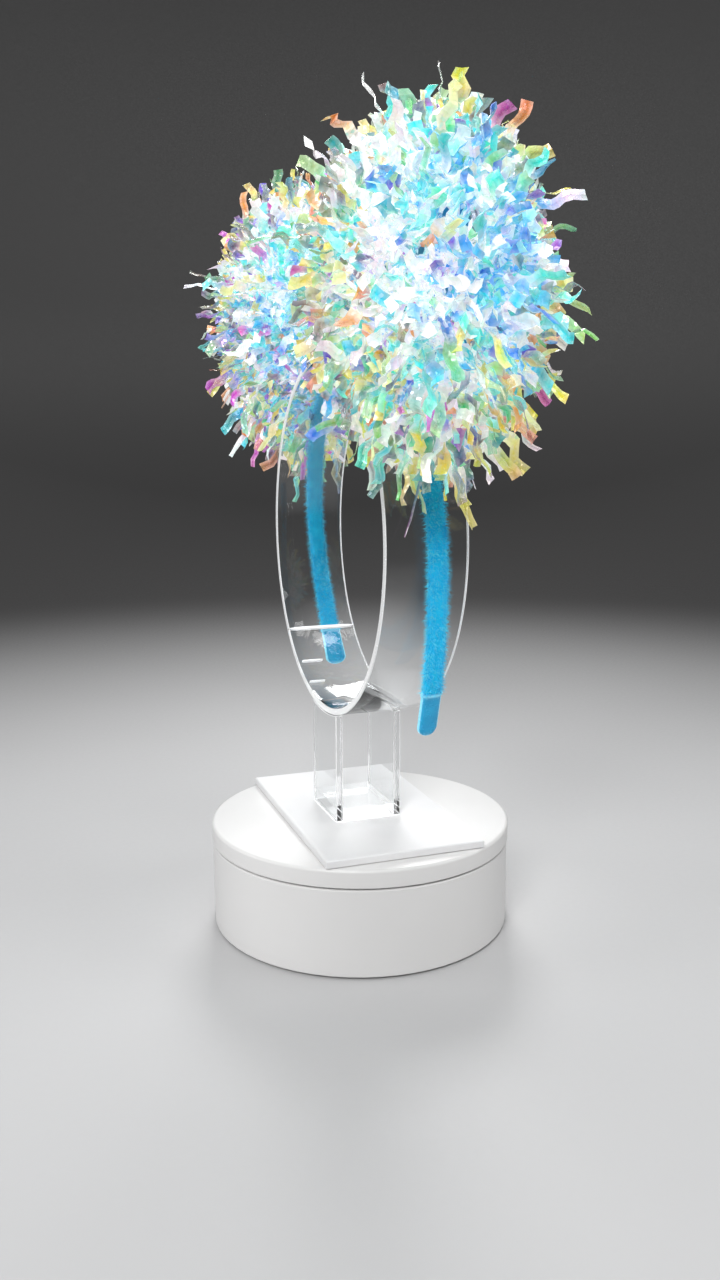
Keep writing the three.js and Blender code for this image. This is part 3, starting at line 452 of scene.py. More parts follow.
# %% Fill the seam
def ring_bar(name, angle, half_length, middle_x, low, high, half_width, rows=14):
    """A thin bar along X at one angle of the ring, between two radii, with a lens-like section."""
    x = middle_x + np.linspace(-half_length, half_length, rows)
    swell = np.sqrt(np.clip(1 - np.linspace(-1, 1, rows) ** 4, 0.02, 1))
    side = np.array([-1, 1, 1, -1]) * half_width
    depth = np.array([low, low, high, high])
    across = side[None, :] * swell[:, None]
    out = np.broadcast_to(depth, (rows, 4))
    points = np.stack([np.broadcast_to(x[:, None], (rows, 4)),
                       out * math.cos(angle) - across * math.sin(angle),
                       ring_middle + out * math.sin(angle) + across * math.cos(angle)], -1)
    faces = grid_faces(rows, 4, False, True).tolist()
    faces += [[3, 2, 1, 0], list(range((rows - 1) * 4, rows * 4))]
    return face_outwards(make_mesh(name, points, faces, 40))


weld_marks = {  # name: angle in degrees, half length, middle along X, half width
    "ring_seam_weld": (math.degrees(seam), ring_half - 0.2 * MM, 0.0, 0.6 * MM),
    "ring_weld_mark_1": (-57, 4.6 * MM, -8.5 * MM, 0.3 * MM),
    "ring_weld_mark_2": (-69, 3.4 * MM, -10.2 * MM, 0.22 * MM),
}
for name, (angle, half_length, middle_x, half_width) in weld_marks.items():
    mark = ring_bar(name, math.radians(angle), half_length, middle_x,
                    ring_radius - ring_wall - 0.08 * MM, ring_radius - 0.3 * MM, half_width)
    paint(mark, weld_with_glow)
    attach(mark, "clear_stand")
print(len(weld_marks), "lines of solvent weld")

# %% [markdown]
# ## Uprights, foot bar and base plate
# These are cut from flat sheet. Cubes with a bevel would do for plain ones, but the measured
# solids already have the right outlines, so each is copied and a Bevel modifier eases its edges.

# %% Stand the uprights and the foot
for node, name, body_finish in (("upright_left", "left_upright", clear_face),
                                ("upright_right", "right_upright", clear_face),
                                ("foot_bar", "clear_foot_bar", block_clear_glow)):
    plate = smoothed(node, name, body_finish, "clear_stand", 35, 0.3 * MM)
    plate.data.materials.append(cut_edge_glow)
    # the bevel faces take the cut-edge finish: a painted highlight, a glow on the eased edges
    plate.modifiers["rounded_edges"].material = 1  # the eased edges gather the light
smoothed("stand_base", "frosted_base_plate", frosted, "clear_stand",
         35, 0.2 * MM)
print("uprights, foot bar and base plate placed")


# %% [markdown]
# ## Glue at the foot
# Cement leaves a thin bead where the foot meets the plate. A bevelled curve would give an even
# one. A real bead swells and thins, so three lines of points run along each side of the foot.

# %% Run the glue fillets
def fillet(name, start, end, size, seed, rows=60):
    """A three-sided bead along a line on the plate; its size swells as a sum of two sines."""
    t = np.linspace(0, 1, rows)[:, None]
    rng = np.random.default_rng(seed)
    start, end = np.array(start), np.array(end)
    swell = size * (0.8 + 0.25 * np.sin(31 * t + rng.random()) + 0.2 * np.sin(83 * t))
    swell *= np.sqrt(np.clip(1 - (2 * t - 1) ** 8, 0.01, 1))
    line = start + t * (end - start)
    side = np.cross((end - start) / np.linalg.norm(end - start), (0, 0, 1))
    section = [line, line + swell * side, line + swell * np.array([0, 0, 1.0])]
    last = (rows - 1) * 3
    faces = grid_faces(rows, 3, False, True).tolist() + [[2, 1, 0], [last, last + 1, last + 2]]
    made = face_outwards(make_mesh(name, np.stack(section, 1), faces, 50))
    paint(made, weld_with_glow)
    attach(made, "clear_stand")


plate_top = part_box("stand_base")[1].z + 0.02 * MM
(left_x, front_y, _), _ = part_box("upright_left")
_, (right_x, back_y, _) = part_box("upright_right")
corners = [(left_x, front_y, plate_top), (right_x, front_y, plate_top),
           (right_x, back_y, plate_top), (left_x, back_y, plate_top)]
bead_sizes = {"front": 0.55 * MM, "right": 0.5 * MM, "back": 0.5 * MM, "left": 0.5 * MM}
for i, (where, size) in enumerate(bead_sizes.items()):
    fillet(f"glue_fillet_{where}", corners[i], corners[(i + 1) % 4], size, i + 1)
print("four glue fillets round the foot")

# %% [markdown]
# ## The headband's own frame
# The headband leans by 3 degrees and is turned by 0.6, so its pieces are worked out upright and
# then carried into place by one matrix. Its middle line is half a circle over the ring and two
# legs, each of which draws in as the square of its drop. Use has twisted the legs apart as well.

# %% Set out the hoop
lean_back, turned_by = math.radians(3), math.radians(0.6)
plush_half, plush_deep = 3.2 * MM, 1.65 * MM
hoop_radius = 71.19 * MM
leg_drop, leg_inset, plush_drop = 65.9 * MM, 11.5 * MM, 49.3 * MM
leg_twist = 2.4 * MM


def turn_y(angle):
    """Rotation about Y by an angle."""
    c, s = math.cos(angle), math.sin(angle)
    return np.array([[c, 0, s], [0, 1, 0], [-s, 0, c]])


def turn_z(angle):
    """Rotation about Z by an angle."""
    c, s = math.cos(angle), math.sin(angle)
    return np.array([[c, -s, 0], [s, c, 0], [0, 0, 1]])


def turn_x(angle):
    """Rotation about X by an angle."""
    c, s = math.cos(angle), math.sin(angle)
    return np.array([[1, 0, 0], [0, c, -s], [0, s, c]])


hoop_turn = turn_y(-lean_back) @ turn_z(-turned_by)
hoop_place = np.array([3.2 * MM, 0, ring_middle])


def on_hoop(points):
    """Carries points from the hoop's own frame into the object's frame."""
    return np.asarray(points) @ hoop_turn.T + hoop_place


def leg_place(drop):
    """How far a leg is from the middle plane at a drop below the hoop's centre."""
    return hoop_radius - leg_inset * (drop / leg_drop) ** 2


def leg_bend(side, drop):
    """How far a leg is bent along X at a drop: the near one back, the far one forward."""
    return np.sign(side) * leg_twist * (drop / leg_drop) ** 1.3


def hoop_line(along, drop):
    """Points and unit tangents of the middle line; along runs from 0 to 1, near leg first."""
    arc = np.pi * hoop_radius
    length = along * (arc + 2 * drop)
    angle = np.clip((length - drop) / hoop_radius, 0, np.pi)
    below = np.maximum(drop - length, length - drop - arc).clip(0)
    side = np.where(length < drop + arc / 2, -1.0, 1.0)
    y = np.where(below > 0, side * leg_place(below), -hoop_radius * np.cos(angle))
    z = np.where(below > 0, -below, hoop_radius * np.sin(angle))
    line = np.stack([leg_bend(side, below), y, z], -1)
    step = np.gradient(line, axis=0)
    return line, step / np.linalg.norm(step, axis=1, keepdims=True)


# %% [markdown]
# ## Plush sleeve
# The band is wrapped in short-haired plush. A particle hair system would not survive an export,
# so the sleeve is a soft, slightly lumpy skin with real hairs on it: some twenty thousand slim
# three-sided spikes, one to three millimetres long, that lean down the leg as stroked fur does.
# Where the sleeve lies on the ring it has none.

# %% Mix the plush
plush = finish("plush", (0.01, 0.54, 0.92), (0.02, 0.66, 1.0), 260, 1500, 0.8, distance=0.0004,
               rough=(0.8, 0.95), Sheen_Weight=0.35, Sheen_Roughness=0.4,
               Specular_IOR_Level=0.25)
plush.node_tree.nodes["Principled BSDF"].inputs["Sheen Tint"].default_value = (0.55, 0.85, 1, 1)
pile_hair = finish("pile_hair", (0.02, 0.64, 0.98), (0.15, 0.82, 1.0), 420, 900, 0.1,
                   rough=(0.6, 0.8), Sheen_Weight=0.3, Specular_IOR_Level=0.3)


# %% Sew the sleeve
def sleeve_section(theta):
    """A flat oval: |x / half|^2.6 + |h / deep|^2.6 = 1, by its angle."""
    c, s = np.cos(theta), np.sin(theta)
    power = 2 / 2.6
    return (plush_half * np.sign(c) * np.abs(c) ** power,
            plush_deep * np.sign(s) * np.abs(s) ** power)


def lumps(along, theta):
    """Soft lumps from four waves that never line up, between about -1 and 1."""
    return (0.4 * np.sin(211 * along + 3 * theta) + 0.3 * np.sin(347 * along - 2 * theta + 1)
            + 0.2 * np.sin(97 * along + 5 * theta + 2) + 0.1 * np.sin(523 * along + theta))


def sleeve_line(along):
    """Middle line, tangent T and N = T x X; a point of the skin is line + x X + h N."""
    line, tangent = hoop_line(along, plush_drop)
    outward = np.cross(tangent, (1.0, 0, 0))
    outward /= np.linalg.norm(outward, axis=1, keepdims=True)
    return line, tangent, outward


n_along, n_around = 360, 36
along = np.linspace(0, 1, n_along)
theta = np.linspace(0, 2 * np.pi, n_around, endpoint=False)
line, tangent, outward = sleeve_line(along)
x, h = sleeve_section(theta)
swell = 1 + 0.05 * lumps(along[:, None], theta[None, :])
# the side towards the ring stays flat
swell = np.where(h[None, :] < 0, np.minimum(swell, 1.0), swell)
grid = (line[:, None, :] + (x * swell)[..., None] * np.array([1.0, 0, 0])
        + (h * swell)[..., None] * outward[:, None, :])
faces = grid_faces(n_along, n_around, False, True).tolist()
faces += [list(range(n_around))[::-1],
          list(range((n_along - 1) * n_around, n_along * n_around))]
sleeve = face_outwards(make_mesh("plush_band", on_hoop(grid), faces, 60))
paint(sleeve, plush)
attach(sleeve, "headband")
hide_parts("plush_sleeve")


# %% Plant the pile
def pile(count, seed):
    """Three-sided spikes: three base corners round a root, and a tip at root + length x way."""
    rng = np.random.default_rng(seed)
    at = np.sort(rng.random(count))
    line, tangent, outward = sleeve_line(at)
    angle = rng.random(count) * 2 * np.pi
    x, h = sleeve_section(angle)
    across = np.array([1.0, 0, 0])
    root = line + x[:, None] * across + h[:, None] * outward
    normal = (np.cos(angle)[:, None] * plush_deep * across
              + np.sin(angle)[:, None] * plush_half * outward)
    normal /= np.linalg.norm(normal, axis=1, keepdims=True)
    down = np.where(at[:, None] < 0.5, -tangent, tangent)
    lean, tangle = 0.35, 0.45
    way = normal + lean * down + tangle * rng.normal(size=(count, 3))
    way /= np.linalg.norm(way, axis=1, keepdims=True)
    # most hairs are short, and a few reach the full length
    shortest, longer = 0.7 * MM, 2.0 * MM
    tip = root + way * (shortest + longer * rng.random(count) ** 1.6)[:, None]
    world_root, world_tip = on_hoop(root), on_hoop(tip)
    from_ring = np.hypot(world_tip[:, 1], world_tip[:, 2] - ring_middle)
    keep = (from_ring > ring_radius + 0.3 * MM) & ((way * normal).sum(1) > 0.15)
    sunk = 0.15 * MM
    world_root, world_tip = world_root[keep] - sunk * way[keep] @ hoop_turn.T, world_tip[keep]
    way = world_tip - world_root
    side = np.cross(way, (0.3, 0.5, 0.8))
    side /= np.linalg.norm(side, axis=1, keepdims=True)
    other = np.cross(way, side)
    other /= np.linalg.norm(other, axis=1, keepdims=True)
    turns, thick = (np.arange(3) * 2 * np.pi / 3)[None, :, None], 0.1 * MM
    base = world_root[:, None] + thick * (np.cos(turns) * side[:, None]
                                          + np.sin(turns) * other[:, None])
    points = np.concatenate([base, world_tip[:, None]], 1)
    corner = np.array([[0, 1, 3], [1, 2, 3], [2, 0, 3], [0, 2, 1]])
    faces = (np.arange(len(points))[:, None, None] * 4 + corner[None]).reshape(-1, 3)
    return points, faces


hairs, hair_faces = pile(30000, 11)
pile_mesh = make_mesh("plush_pile", hairs, hair_faces.tolist(), 80)
paint(pile_mesh, pile_hair)
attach(pile_mesh, "headband")
print("pile:", len(hairs), "hairs")

# %% [markdown]
# ## Leg tips
# Each leg ends in a soft vinyl cap, clear blue, with a welded rim and a folded lip where it meets
# the plush. It is a tube with a flat oval section whose half-width follows a circle at the end,
# closed at both ends. A value kept on each point marks the rim, the rounded end and the fold of
# the lip, where a painted highlight makes the vinyl paler and gives it a glow.

# %% Mix the vinyl
vinyl = finish("tip_vinyl", (0.005, 0.4, 0.76), (0.01, 0.48, 0.86), 200, 700, 0.15,
               rough=(0.2, 0.3), Transmission_Weight=0.1, IOR=1.45, Coat_Weight=0.35,
               Emission_Color=(0.3, 0.85, 1, 1))
tree = vinyl.node_tree
# the rim value paints a highlight: a paler colour and a glow on the rim, the end and the lip
rim_highlight_value = tree.nodes.new("ShaderNodeAttribute")
rim_highlight_value.attribute_name = "rim"
rim_highlight_colour = tree.nodes.new("ShaderNodeMix")
rim_highlight_colour.data_type = "RGBA"
rim_highlight_colour.inputs[7].default_value = (0.35, 0.8, 0.95, 1)
tree.links.new(rim_highlight_value.outputs["Fac"], rim_highlight_colour.inputs["Factor"])
tree.links.new(tree.nodes["Color Ramp"].outputs["Color"], rim_highlight_colour.inputs[6])
tree.links.new(rim_highlight_colour.outputs[2], tree.nodes["Principled BSDF"].inputs["Base Color"])
glow = tree.nodes.new("ShaderNodeMath")
glow.operation = "MULTIPLY"
glow.inputs[1].default_value = 0.35
tree.links.new(rim_highlight_value.outputs["Fac"], glow.inputs[0])
tree.links.new(glow.outputs[0], tree.nodes["Principled BSDF"].inputs["Emission Strength"])


# %% Mould the tips
def leg_tip(name, side, node):
    """Half-width w(u) = half sqrt(1 - ((u - straight) / half)^2) past its straight part."""
    length, half, thick = 17.4 * MM, 3.75 * MM, 1.35 * MM
    u = np.concatenate([np.linspace(0, length - half, 16),
                        length - half + half * np.sin(np.linspace(0, np.pi / 2, 14)[1:-1])])
    past = np.clip((u - (length - half)) / half, 0, 1)
    wide = np.sqrt(1 - past ** 2)
    lip = 1 + 0.13 * np.exp(-((u - 0.7 * MM) / (0.5 * MM)) ** 2)
    v = np.linspace(0, 2 * np.pi, 56, endpoint=False)
    c, s = np.cos(v), np.sin(v)
    x = half * np.sign(c) * np.abs(c) ** 0.7
    # two sheets welded at a thin flange: full in the middle, flat over the last tenth
    full = np.sqrt(np.clip(1 - (np.abs(x) / (0.9 * half)) ** 4, 0, 1))
    h = np.sign(s) * np.minimum(1, 4 * np.abs(s)) * (0.22 * MM + thick * full)
    drop = leg_drop - plush_drop
    fall = math.atan2(leg_place(plush_drop) - leg_place(leg_drop), drop)
    bend = float(leg_bend(side, leg_drop) - leg_bend(side, plush_drop)) / drop
    down = np.array([bend, -side * math.sin(fall), -math.cos(fall)])
    outward = np.array([0, side * math.cos(fall), -math.sin(fall)])
    start = np.array([float(leg_bend(side, plush_drop)), side * leg_place(plush_drop),
                      -plush_drop]) - 0.8 * MM * down
    thin = 0.12 + 0.88 * np.sqrt(np.clip(1 - past ** 2.5, 0.0, 1))
    grid = (start + u[:, None, None] * down
            + (wide * lip)[:, None, None] * x[None, :, None] * np.array([1.0, 0, 0])
            + (thin * lip)[:, None, None] * h[None, :, None] * outward)
    rows = len(u)
    tip_point = start + length * down
    points = np.vstack([grid.reshape(-1, 3), tip_point[None]])
    n = len(v)
    faces = grid_faces(rows, n, False, True).tolist()
    last = (rows - 1) * n
    faces += [[last + k, last + (k + 1) % n, rows * n] for k in range(n)]
    faces += [list(range(n))[::-1]]
    made = face_outwards(make_mesh(name, on_hoop(points), faces, 60))
    # painted highlight: the flange, the rounded end and the lip's fold are marked for paler colour
    # and glow
    light = (np.abs(x) > 0.86 * half)[None, :] * np.ones((rows, 1)) * 0.85
    light = np.maximum(light, past[:, None] ** 6)
    light = np.maximum(light, np.exp(-((u - 0.9 * MM) / (0.6 * MM)) ** 2)[:, None] * 0.7)
    made.data.attributes.new("rim", "FLOAT", "POINT").data.foreach_set(
        "value", np.append(light.ravel(), 1.0).astype(np.float32))
    paint(made, vinyl)
    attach(made, "headband")
    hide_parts(node)
    return made


leg_tip("near_leg_tip", -1, "tip_near")
leg_tip("far_leg_tip", 1, "tip_far")

# %% [markdown]
# ## Ears: felt disc and binding
# Under the tinsel each ear is a felt disc in a wire loop, bound to the sleeve. They are almost
# hidden, and keep their measured shape with a felt finish.

# %% Felt the discs
felt = finish("blue_felt", (0.01, 0.24, 0.5), (0.02, 0.32, 0.6), 300, 1100, 0.6, distance=0.0003,
              rough=(0.85, 0.95), Sheen_Weight=0.3, Specular_IOR_Level=0.2)
for ear in ("near", "far"):
    disc = smoothed(f"ear_pad_{ear}", f"felt_disc_{ear}", felt, "headband", 50,
                    0.4 * MM)
    smoothed(f"ear_binding_{ear}", f"sleeve_binding_{ear}", felt, "headband", 50)

# %% [markdown]
# ## Tinsel
# The puffs are wave-cut strips of iridescent film, 2 to 4 mm wide, crowded on the disc and
# standing out in every direction. Interference makes one film look white, aqua, azure or violet
# deep in the puff, where light passes many layers, and yellow, green, peach or nearly clear at
# the loose ends. A viewer-dependent rainbow cannot be baked, so each point keeps its own tint.
# A strip is a thin closed plate: its middle line runs out from the disc, sways from side to side
# as it was cut, twists, and droops a little.

# %% Mix the film
film = bpy.data.materials.new("iridescent_film")
film.use_nodes = True
tree = film.node_tree
shader = tree.nodes["Principled BSDF"]


def wire(kind, links, **values):
    """Adds a node, sets its properties, and feeds its inputs from (input, output) pairs."""
    node = tree.nodes.new("ShaderNode" + kind)
    for key, value in values.items():
        setattr(node, key, value)
    for entry, source in links:
        if isinstance(source, bpy.types.NodeSocket):
            tree.links.new(source, node.inputs[entry])
        else:
            node.inputs[entry].default_value = source
    return node


tint = wire("Attribute", [], attribute_name="film_tint")
body = wire("Attribute", [], attribute_name="film_body")
place = wire("TexCoord", [])
cells_per_metre = 900.0
facets = wire("TexVoronoi", [("Vector", place.outputs["Object"]), ("Scale", cells_per_metre)])
channels = wire("SeparateColor", [(0, facets.outputs["Color"])])
speck = wire("ValToRGB", [(0, channels.outputs[0])])
speck.color_ramp.interpolation = "CONSTANT"
speck_tints = [(0.0, (0.96, 0.98, 1.0)), (0.34, (0.3, 0.9, 0.9)), (0.5, (0.05, 0.45, 0.85)),
               (0.58, (1.0, 0.98, 0.98)), (0.86, (0.4, 0.25, 0.8)), (0.9, (0.05, 0.7, 0.6)),
               (0.96, (0.95, 0.8, 0.5))]
for at, shade in speck_tints[2:]:
    speck.color_ramp.elements.new(at)
for element, (at, shade) in zip(speck.color_ramp.elements, speck_tints):
    element.position, element.color = at, (*shade, 1)
share = wire("MapRange", [(0, channels.outputs[1]), (1, 0.35), (2, 0.9), (3, 0.0), (4, 0.6)])
# the tint's alpha says how speckled the film looks there: much inside the puff, little outside
speckled = wire("Math", [(0, share.outputs[0]), (1, tint.outputs["Alpha"])], operation="MULTIPLY")
mixed = wire("Mix", [(0, speckled.outputs[0]), (6, tint.outputs["Color"]), (7, speck.outputs[0])],
             data_type="RGBA")
tree.links.new(mixed.outputs[2], shader.inputs["Base Color"])
# the film's tint also feeds its emission, strength 0.31 below, so the whole film glows: painted
# light
tree.links.new(mixed.outputs[2], shader.inputs["Emission Color"])
tree.links.new(body.outputs["Fac"], shader.inputs["Alpha"])
# each cell of the pattern is one flat facet: height = (place - cell's middle) . cell's tilt
scaled = wire("VectorMath", [(0, place.outputs["Object"]), (1, (cells_per_metre,) * 3)],
              operation="MULTIPLY")
inside = wire("VectorMath", [(0, scaled.outputs[0]), (1, facets.outputs["Position"])],
              operation="SUBTRACT")
tilt = wire("VectorMath", [(0, facets.outputs["Color"]), (1, (0.5, 0.5, 0.5))],
            operation="SUBTRACT")
height = wire("VectorMath", [(0, inside.outputs[0]), (1, tilt.outputs[0])],
              operation="DOT_PRODUCT")
crinkle = wire("Bump", [("Height", height.outputs["Value"]), ("Strength", 0.8),
                        ("Distance", 0.0008)])
tree.links.new(crinkle.outputs["Normal"], shader.inputs["Normal"])
for socket, value in {"Roughness": 0.2, "Metallic": 0.12, "Specular IOR Level": 0.9,
                      "Emission Strength": 0.31, "Coat Weight": 0.7, "Coat Roughness": 0.08,
                      "Thin Film Thickness": 420.0, "Thin Film IOR": 1.6}.items():
    shader.inputs[socket].default_value = value

# %% Choose the film's colours
families = {
    "white": [(0.97, 0.96, 0.96), (0.92, 0.96, 0.96), (1.0, 0.96, 0.94), (0.92, 0.9, 0.95)],
    "aqua": [(0.06, 0.74, 0.8), (0.02, 0.55, 0.62), (0.3, 0.88, 0.92), (0.08, 0.78, 0.66)],
    "azure": [(0.015, 0.34, 0.82), (0.01, 0.24, 0.68), (0.1, 0.55, 0.92), (0.02, 0.45, 0.8)],
    "violet": [(0.16, 0.1, 0.62), (0.36, 0.1, 0.55), (0.62, 0.07, 0.5), (0.3, 0.3, 0.8)],
    "green": [(0.08, 0.5, 0.16), (0.25, 0.66, 0.36), (0.04, 0.36, 0.28), (0.5, 0.75, 0.3)],
    "warm": [(0.8, 0.72, 0.1), (0.95, 0.9, 0.45), (0.8, 0.33, 0.08), (0.75, 0.66, 0.16)],
    "smoke": [(0.16, 0.24, 0.21), (0.24, 0.22, 0.2), (0.12, 0.14, 0.24), (0.3, 0.36, 0.32)],
}
family_names = list(families)
family_tints = np.array([families[name] for name in family_names])


def pick_tints(shares, rng):
    """One tint for each row of family shares: a family by its share, then one of its four."""
    total = np.cumsum(shares / shares.sum(1, keepdims=True), 1)
    family = (rng.random((len(shares), 1)) > total).sum(1).clip(0, len(family_names) - 1)
    return family_tints[family, rng.integers(0, 4, len(shares))]


def shares_of(**weights):
    """The weights in the order of the family names, 0 where one isn't given."""
    return np.array([weights.get(name, 0.0) for name in family_names])


# %% Write the strip function
def film_strips(root, way, length, width, segments, rng, droop=1.0, crumple=0.2):
    """Closed creased strips along p(s) = root + s way + sway sin(ks) w + ripple sin(k's) n.

    w and n are square to the way and turn with s by a random twist; gravity takes 5 s^2 off z.
    The section is left edge, underside, right edge and ridge. Returns points of shape
    (strips, segments + 1, 4, 3) and s / length for each row."""
    count = len(root)
    share = np.linspace(0, 1, segments + 1)
    s = length[:, None] * share
    w = np.cross(way, rng.normal(size=(count, 3)))
    w /= np.linalg.norm(w, axis=1, keepdims=True)
    n = np.cross(way, w)
    twist = (rng.random(count) * 2 * np.pi)[:, None] + rng.normal(0, 0.8, count)[:, None] * share
    wide = (np.cos(twist)[..., None] * w[:, None] + np.sin(twist)[..., None] * n[:, None])
    flat = (np.cos(twist)[..., None] * n[:, None] - np.sin(twist)[..., None] * w[:, None])
    wave = rng.uniform(8.0, 12.0, count)[:, None] * MM
    phase = rng.random((2, count, 1)) * 2 * np.pi
    sway = rng.uniform(0.6, 1.2, count)[:, None] * MM * np.sin(2 * np.pi * s / wave + phase[0])
    ripple = rng.uniform(0.4, 1.0, count)[:, None] * MM * np.sin(2 * np.pi * s / wave / 0.8
                                                                 + phase[1])
    curl = rng.normal(0, 2.5, (count, 1, 3))
    middle = (root[:, None] + way[:, None] * s[..., None] + wide * sway[..., None]
              + flat * ripple[..., None] + curl * (s ** 2)[..., None])
    middle[..., 2] -= droop * 5.0 * s ** 2
    # narrow where it is bound, full width from a fifth of its length
    across = (width[:, None] * (0.4 + 0.6 * np.clip(share * 5, 0, 1)) / 2)[..., None]
    crease = (rng.normal(0, 0.3, (count, 1)) * width[:, None] / 2)[..., None]
    loose = rng.normal(0, crumple * MM, (3, count, segments + 1, 1)) * flat
    left = middle - wide * across + loose[0]
    right = middle + wide * across + loose[1]
    ridge = middle + flat * crease + loose[2]
    thin = 0.1 * MM
    return np.stack([left, ridge - flat * thin, right, ridge + flat * thin], 2), share


def plate_faces(count, rows, first):
    """Side faces and two end faces for each closed strip of rows x 4 points."""
    side = grid_faces(rows, 4, False, True)
    ends = np.array([[3, 2, 1, 0], [(rows - 1) * 4 + k for k in range(4)]])
    one = np.vstack([side, ends])
    return (first + np.arange(count)[:, None, None] * rows * 4 + one[None]).reshape(-1, 4)


# %% [markdown]
# ## Ears
# Each ear sits 43.5 degrees down from the top of the hoop and fills an ellipsoid. Copies of one
# strip would look alike, and random points leave holes, so every strip is worked out on its own
# and the ways out of the middle follow a golden-angle spiral, each a little nudged. Chips fill
# the body, tufts reach the outline, and a few streamers pass it.

# %% Set out the ears
ear_angle, ear_reach, ear_seat = math.radians(43.5), 48 * MM, -46 * MM
ear_lean = {-1: math.radians(-5), 1: math.radians(2)}


def on_ear(points, side):
    """Carries points from an ear's frame, whose Z points away from the hoop, into place."""
    seat = np.array([0, 0, ear_seat])
    leaned = (np.asarray(points) - seat) @ turn_y(ear_lean[side]).T + seat
    centre = (hoop_radius + ear_reach) * np.array([0, side * math.sin(ear_angle),
                                                   math.cos(ear_angle)])
    return on_hoop(leaned @ turn_x(-side * ear_angle).T + centre)


def reach_to(root, way, radii):
    """Distance from each root along its way to the ellipsoid |p / radii| = 1."""
    a = ((way / radii) ** 2).sum(1)
    b = 2 * (root * way / radii ** 2).sum(1)
    c = ((root / radii) ** 2).sum(1) - 1
    return (-b + np.sqrt(np.maximum(b * b - 4 * a * c, 0))) / (2 * a)


def sphere_ways(count, rng):
    """Even directions on a sphere, by the golden-angle spiral, each one nudged."""
    i = np.arange(count) + 0.5
    height = 1 - 2 * i / count
    round_ = np.pi * (1 + 5 ** 0.5) * i
    flat = np.sqrt(1 - height ** 2)
    ways = np.stack([height, flat * np.cos(round_), flat * np.sin(round_)], 1)
    ways += rng.normal(0, 0.12, ways.shape)
    return ways / np.linalg.norm(ways, axis=1, keepdims=True)


def unit(vectors):
    """Each row divided by its length."""
    return vectors / np.linalg.norm(vectors, axis=1, keepdims=True)


sleeve_top = 6.6 * MM


def make_film(name, layers, shift, rng, node=None):
    """One mesh from layers of (points, share, shares of family, loose shares, sheer).

    tint = deep (1 - m) + loose m + 0.1 sin, with m rising from 0 to 1 over the outer half."""
    points, colours, bodies, faces, first = [], [], [], [], 0
    for strips, share, deep_shares, loose_shares, sheer in layers:
        count, rows = strips.shape[:2]
        deep, loose = pick_tints(deep_shares, rng), pick_tints(loose_shares, rng)
        mix = np.clip((share - 0.5) / 0.25, 0, 1)[None, :, None]
        colour = deep[:, None] * (1 - mix) + loose[:, None] * mix
        colour = colour + 0.1 * np.sin(share[None, :, None] * rng.uniform(6, 16, (count, 1, 1))
                                       + rng.random((count, 1, 3)) * 6.3)
        # the cut edges are painted paler, a painted highlight, and are less clear than the middle
        edge = np.array([1.0, 0.0, 1.0, 0.0])[None, None, :, None]
        colour = colour[:, :, None] * (1 - 0.25 * edge) + 0.25 * edge
        thin = sheer[:, None, None] * np.clip((share - 0.35) / 0.3, 0, 1)[None, :, None]
        body_share = 1 - thin * (1 - 0.55 * edge[..., 0])
        speckle = np.broadcast_to((1 - 0.8 * mix)[:, :, None], colour.shape[:3] + (1,))
        points.append(strips.reshape(-1, 3))
        colours.append(np.concatenate([colour, speckle], -1).reshape(-1, 4))
        bodies.append(body_share.ravel())
        faces.append(plate_faces(count, rows, first))
        first += count * rows * 4
    points, rgba = np.vstack(points) + shift, np.clip(np.vstack(colours), 0.02, 1)
    # strips lie on the sleeve and never go into the ring's own cylinder
    y, z = points[:, 1], points[:, 2] - ring_middle
    distance = np.hypot(y, z)
    ground = ring_radius + sleeve_top
    push = np.where(distance < ground, (ground + 0.12 * (distance - ground)) / distance, 1)
    points[:, 1], points[:, 2] = y * push, z * push + ring_middle
    made = make_mesh(name, points, np.vstack(faces).tolist(), 14)
    made.data.attributes.new("film_tint", "FLOAT_COLOR", "POINT").data.foreach_set(
        "color", rgba.astype(np.float32).ravel())
    made.data.attributes.new("film_body", "FLOAT", "POINT").data.foreach_set(
        "value", np.concatenate(bodies).astype(np.float32))
    paint(made, film)
    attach(made, "headband")
    if node:
        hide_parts(node)
    low, high = points.min(0) / MM, points.max(0) / MM
    print(name, "has", sum(len(f) for f in faces), "faces, from", low.round(), "to", high.round())
    return made


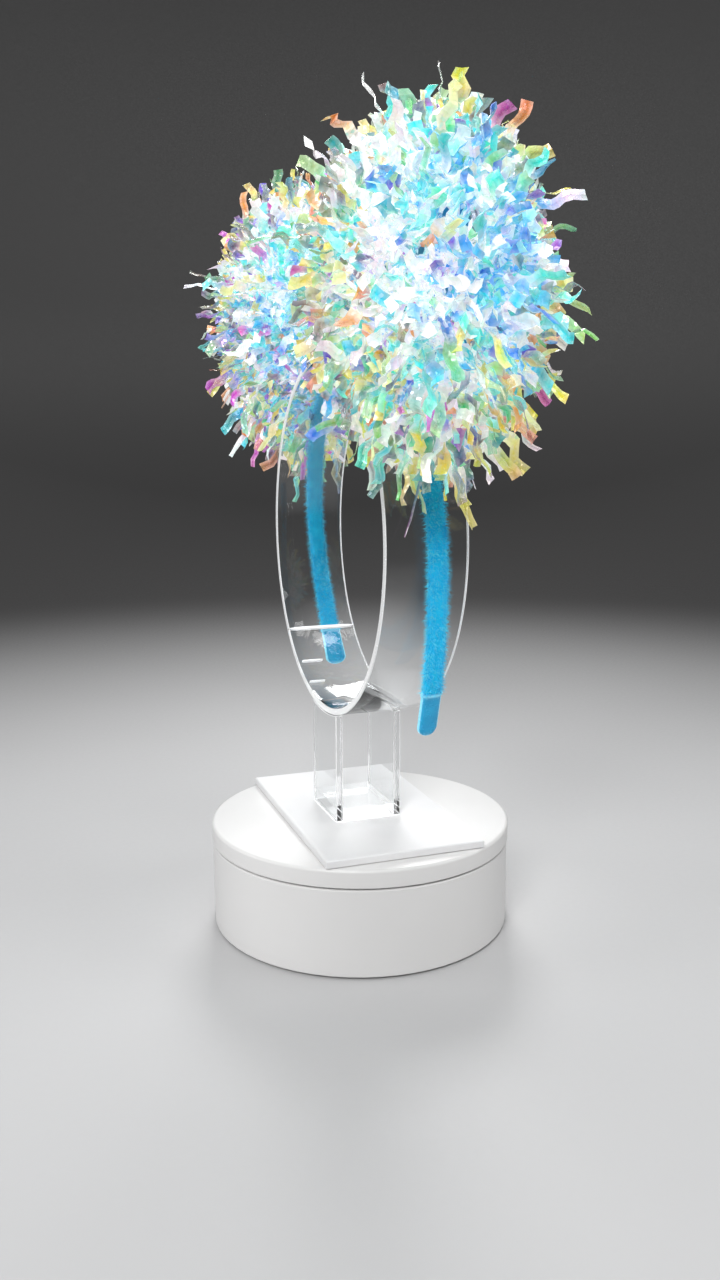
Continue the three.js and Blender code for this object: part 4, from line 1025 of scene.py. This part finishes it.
# %% Fill an ear
def puff(name, side, node, seed, shift, outline, blue_at, violet, counts=(3500, 1100, 520)):
    """Three layers: crumpled chips that fill the puff, tufts to its outline, and streamers."""
    rng = np.random.default_rng(seed)
    chips, tufts, streamers = counts
    to_world = (on_ear(np.eye(3), side) - on_ear(np.zeros((1, 3)), side))
    broad_face = np.array([0.33, 0.93, -0.15])

    def rim_share(ways):
        """0 for ways that face along the ring's own wall, 1 for those round the ear's rim."""
        facing = np.abs((ways @ to_world) @ broad_face)
        return np.clip((0.86 - facing) / 0.3, 0, 1)

    def shares(roots, base):
        """Azure gathers round a point of the ear; aqua and white trade places in soft patches."""
        at = on_ear(roots, side) + shift
        near = np.exp(-(((at - blue_at[0]) / blue_at[1]) ** 2).sum(1) / 2)
        patch = np.sin(at @ (150, 90, 210)) + np.sin(at @ (-190, 240, 70) + 1)
        result = np.tile(base, (len(roots), 1))
        result[:, 1] *= np.exp(1.1 * patch)
        result[:, 2] += 1.3 * near
        result[:, 1] += 0.6 * near
        result[:, 3] += violet * np.exp(-(((at[:, 2] - 0.205) / 0.03) ** 2))
        return result / result.sum(1, keepdims=True)

    deep = shares_of(white=0.74, aqua=0.2, azure=0.05, violet=0.03, green=0.02, warm=0.015)
    edge_mix = shares_of(white=0.12, aqua=0.06, azure=0.02, violet=0.03 + violet, green=0.24,
                         warm=0.38, smoke=0.2)
    ways = sphere_ways(chips, rng)
    depth = rng.uniform(0.6, 0.93, (chips, 1))
    root = ways * outline * depth
    way = unit(0.5 * ways + rng.normal(0, 0.6, ways.shape))
    strips, share = film_strips(on_ear(root, side), way @ to_world,
                                rng.uniform(6, 12, chips) * MM, rng.uniform(2.0, 4.0, chips) * MM,
                                5, rng, 0.3, 0.35)
    at_rim = 0.6 * rim_share(ways)[:, None]
    chip_shares = shares(root, deep) * (1 - at_rim) + edge_mix * at_rim
    make_film(name + "_chips", [(strips, share, chip_shares, chip_shares, np.zeros(chips))],
              shift, rng, node)

    layers = []
    for count, start, stretch, sheerness, rows in (
            (tufts, 0.74, (1.04, 0.06), 0.25, 8), (streamers, 0.72, (1.18, 0.1), 0.6, 13)):
        ways = sphere_ways(count, rng)
        root = ways * outline * start
        way = unit(unit(ways * outline) + rng.normal(0, 0.3, ways.shape))
        length = reach_to(root, way, outline) + (rng.normal(*stretch, count) - 1) * outline[1]
        width = rng.uniform(2.8, 4.4, count) * MM
        strips, share = film_strips(on_ear(root, side), way @ to_world, length, width, rows, rng,
                                    1.0, 0.12)
        at_rim = rim_share(way)
        sheer = np.where(rng.random(count) < sheerness, rng.uniform(0.35, 0.8, count), 0.0)
        inner = shares(root, deep)
        loose = inner * (1 - at_rim)[:, None] + edge_mix * at_rim[:, None]
        layers.append((strips, share, inner, loose, sheer * at_rim))
    make_film(name + "_strips", layers, shift, rng)


puff("near_tinsel", -1, "tinsel_near", 5, np.array([-0.5, 2.0, -7.0]) * MM,
     np.array([33.0, 47.0, 54.0]) * MM,
     (np.array([4.0, -122.0, 250.0]) * MM, np.array([11.0, 40.0, 20.0]) * MM), 0.0)
puff("far_tinsel", 1, "tinsel_far", 8, np.array([1.0, 0.0, 2.0]) * MM,
     np.array([33.0, 55.0, 56.0]) * MM,
     (np.array([2.0, 55.0, 205.0]) * MM, np.array([22.0, 34.0, 26.0]) * MM), 0.18)
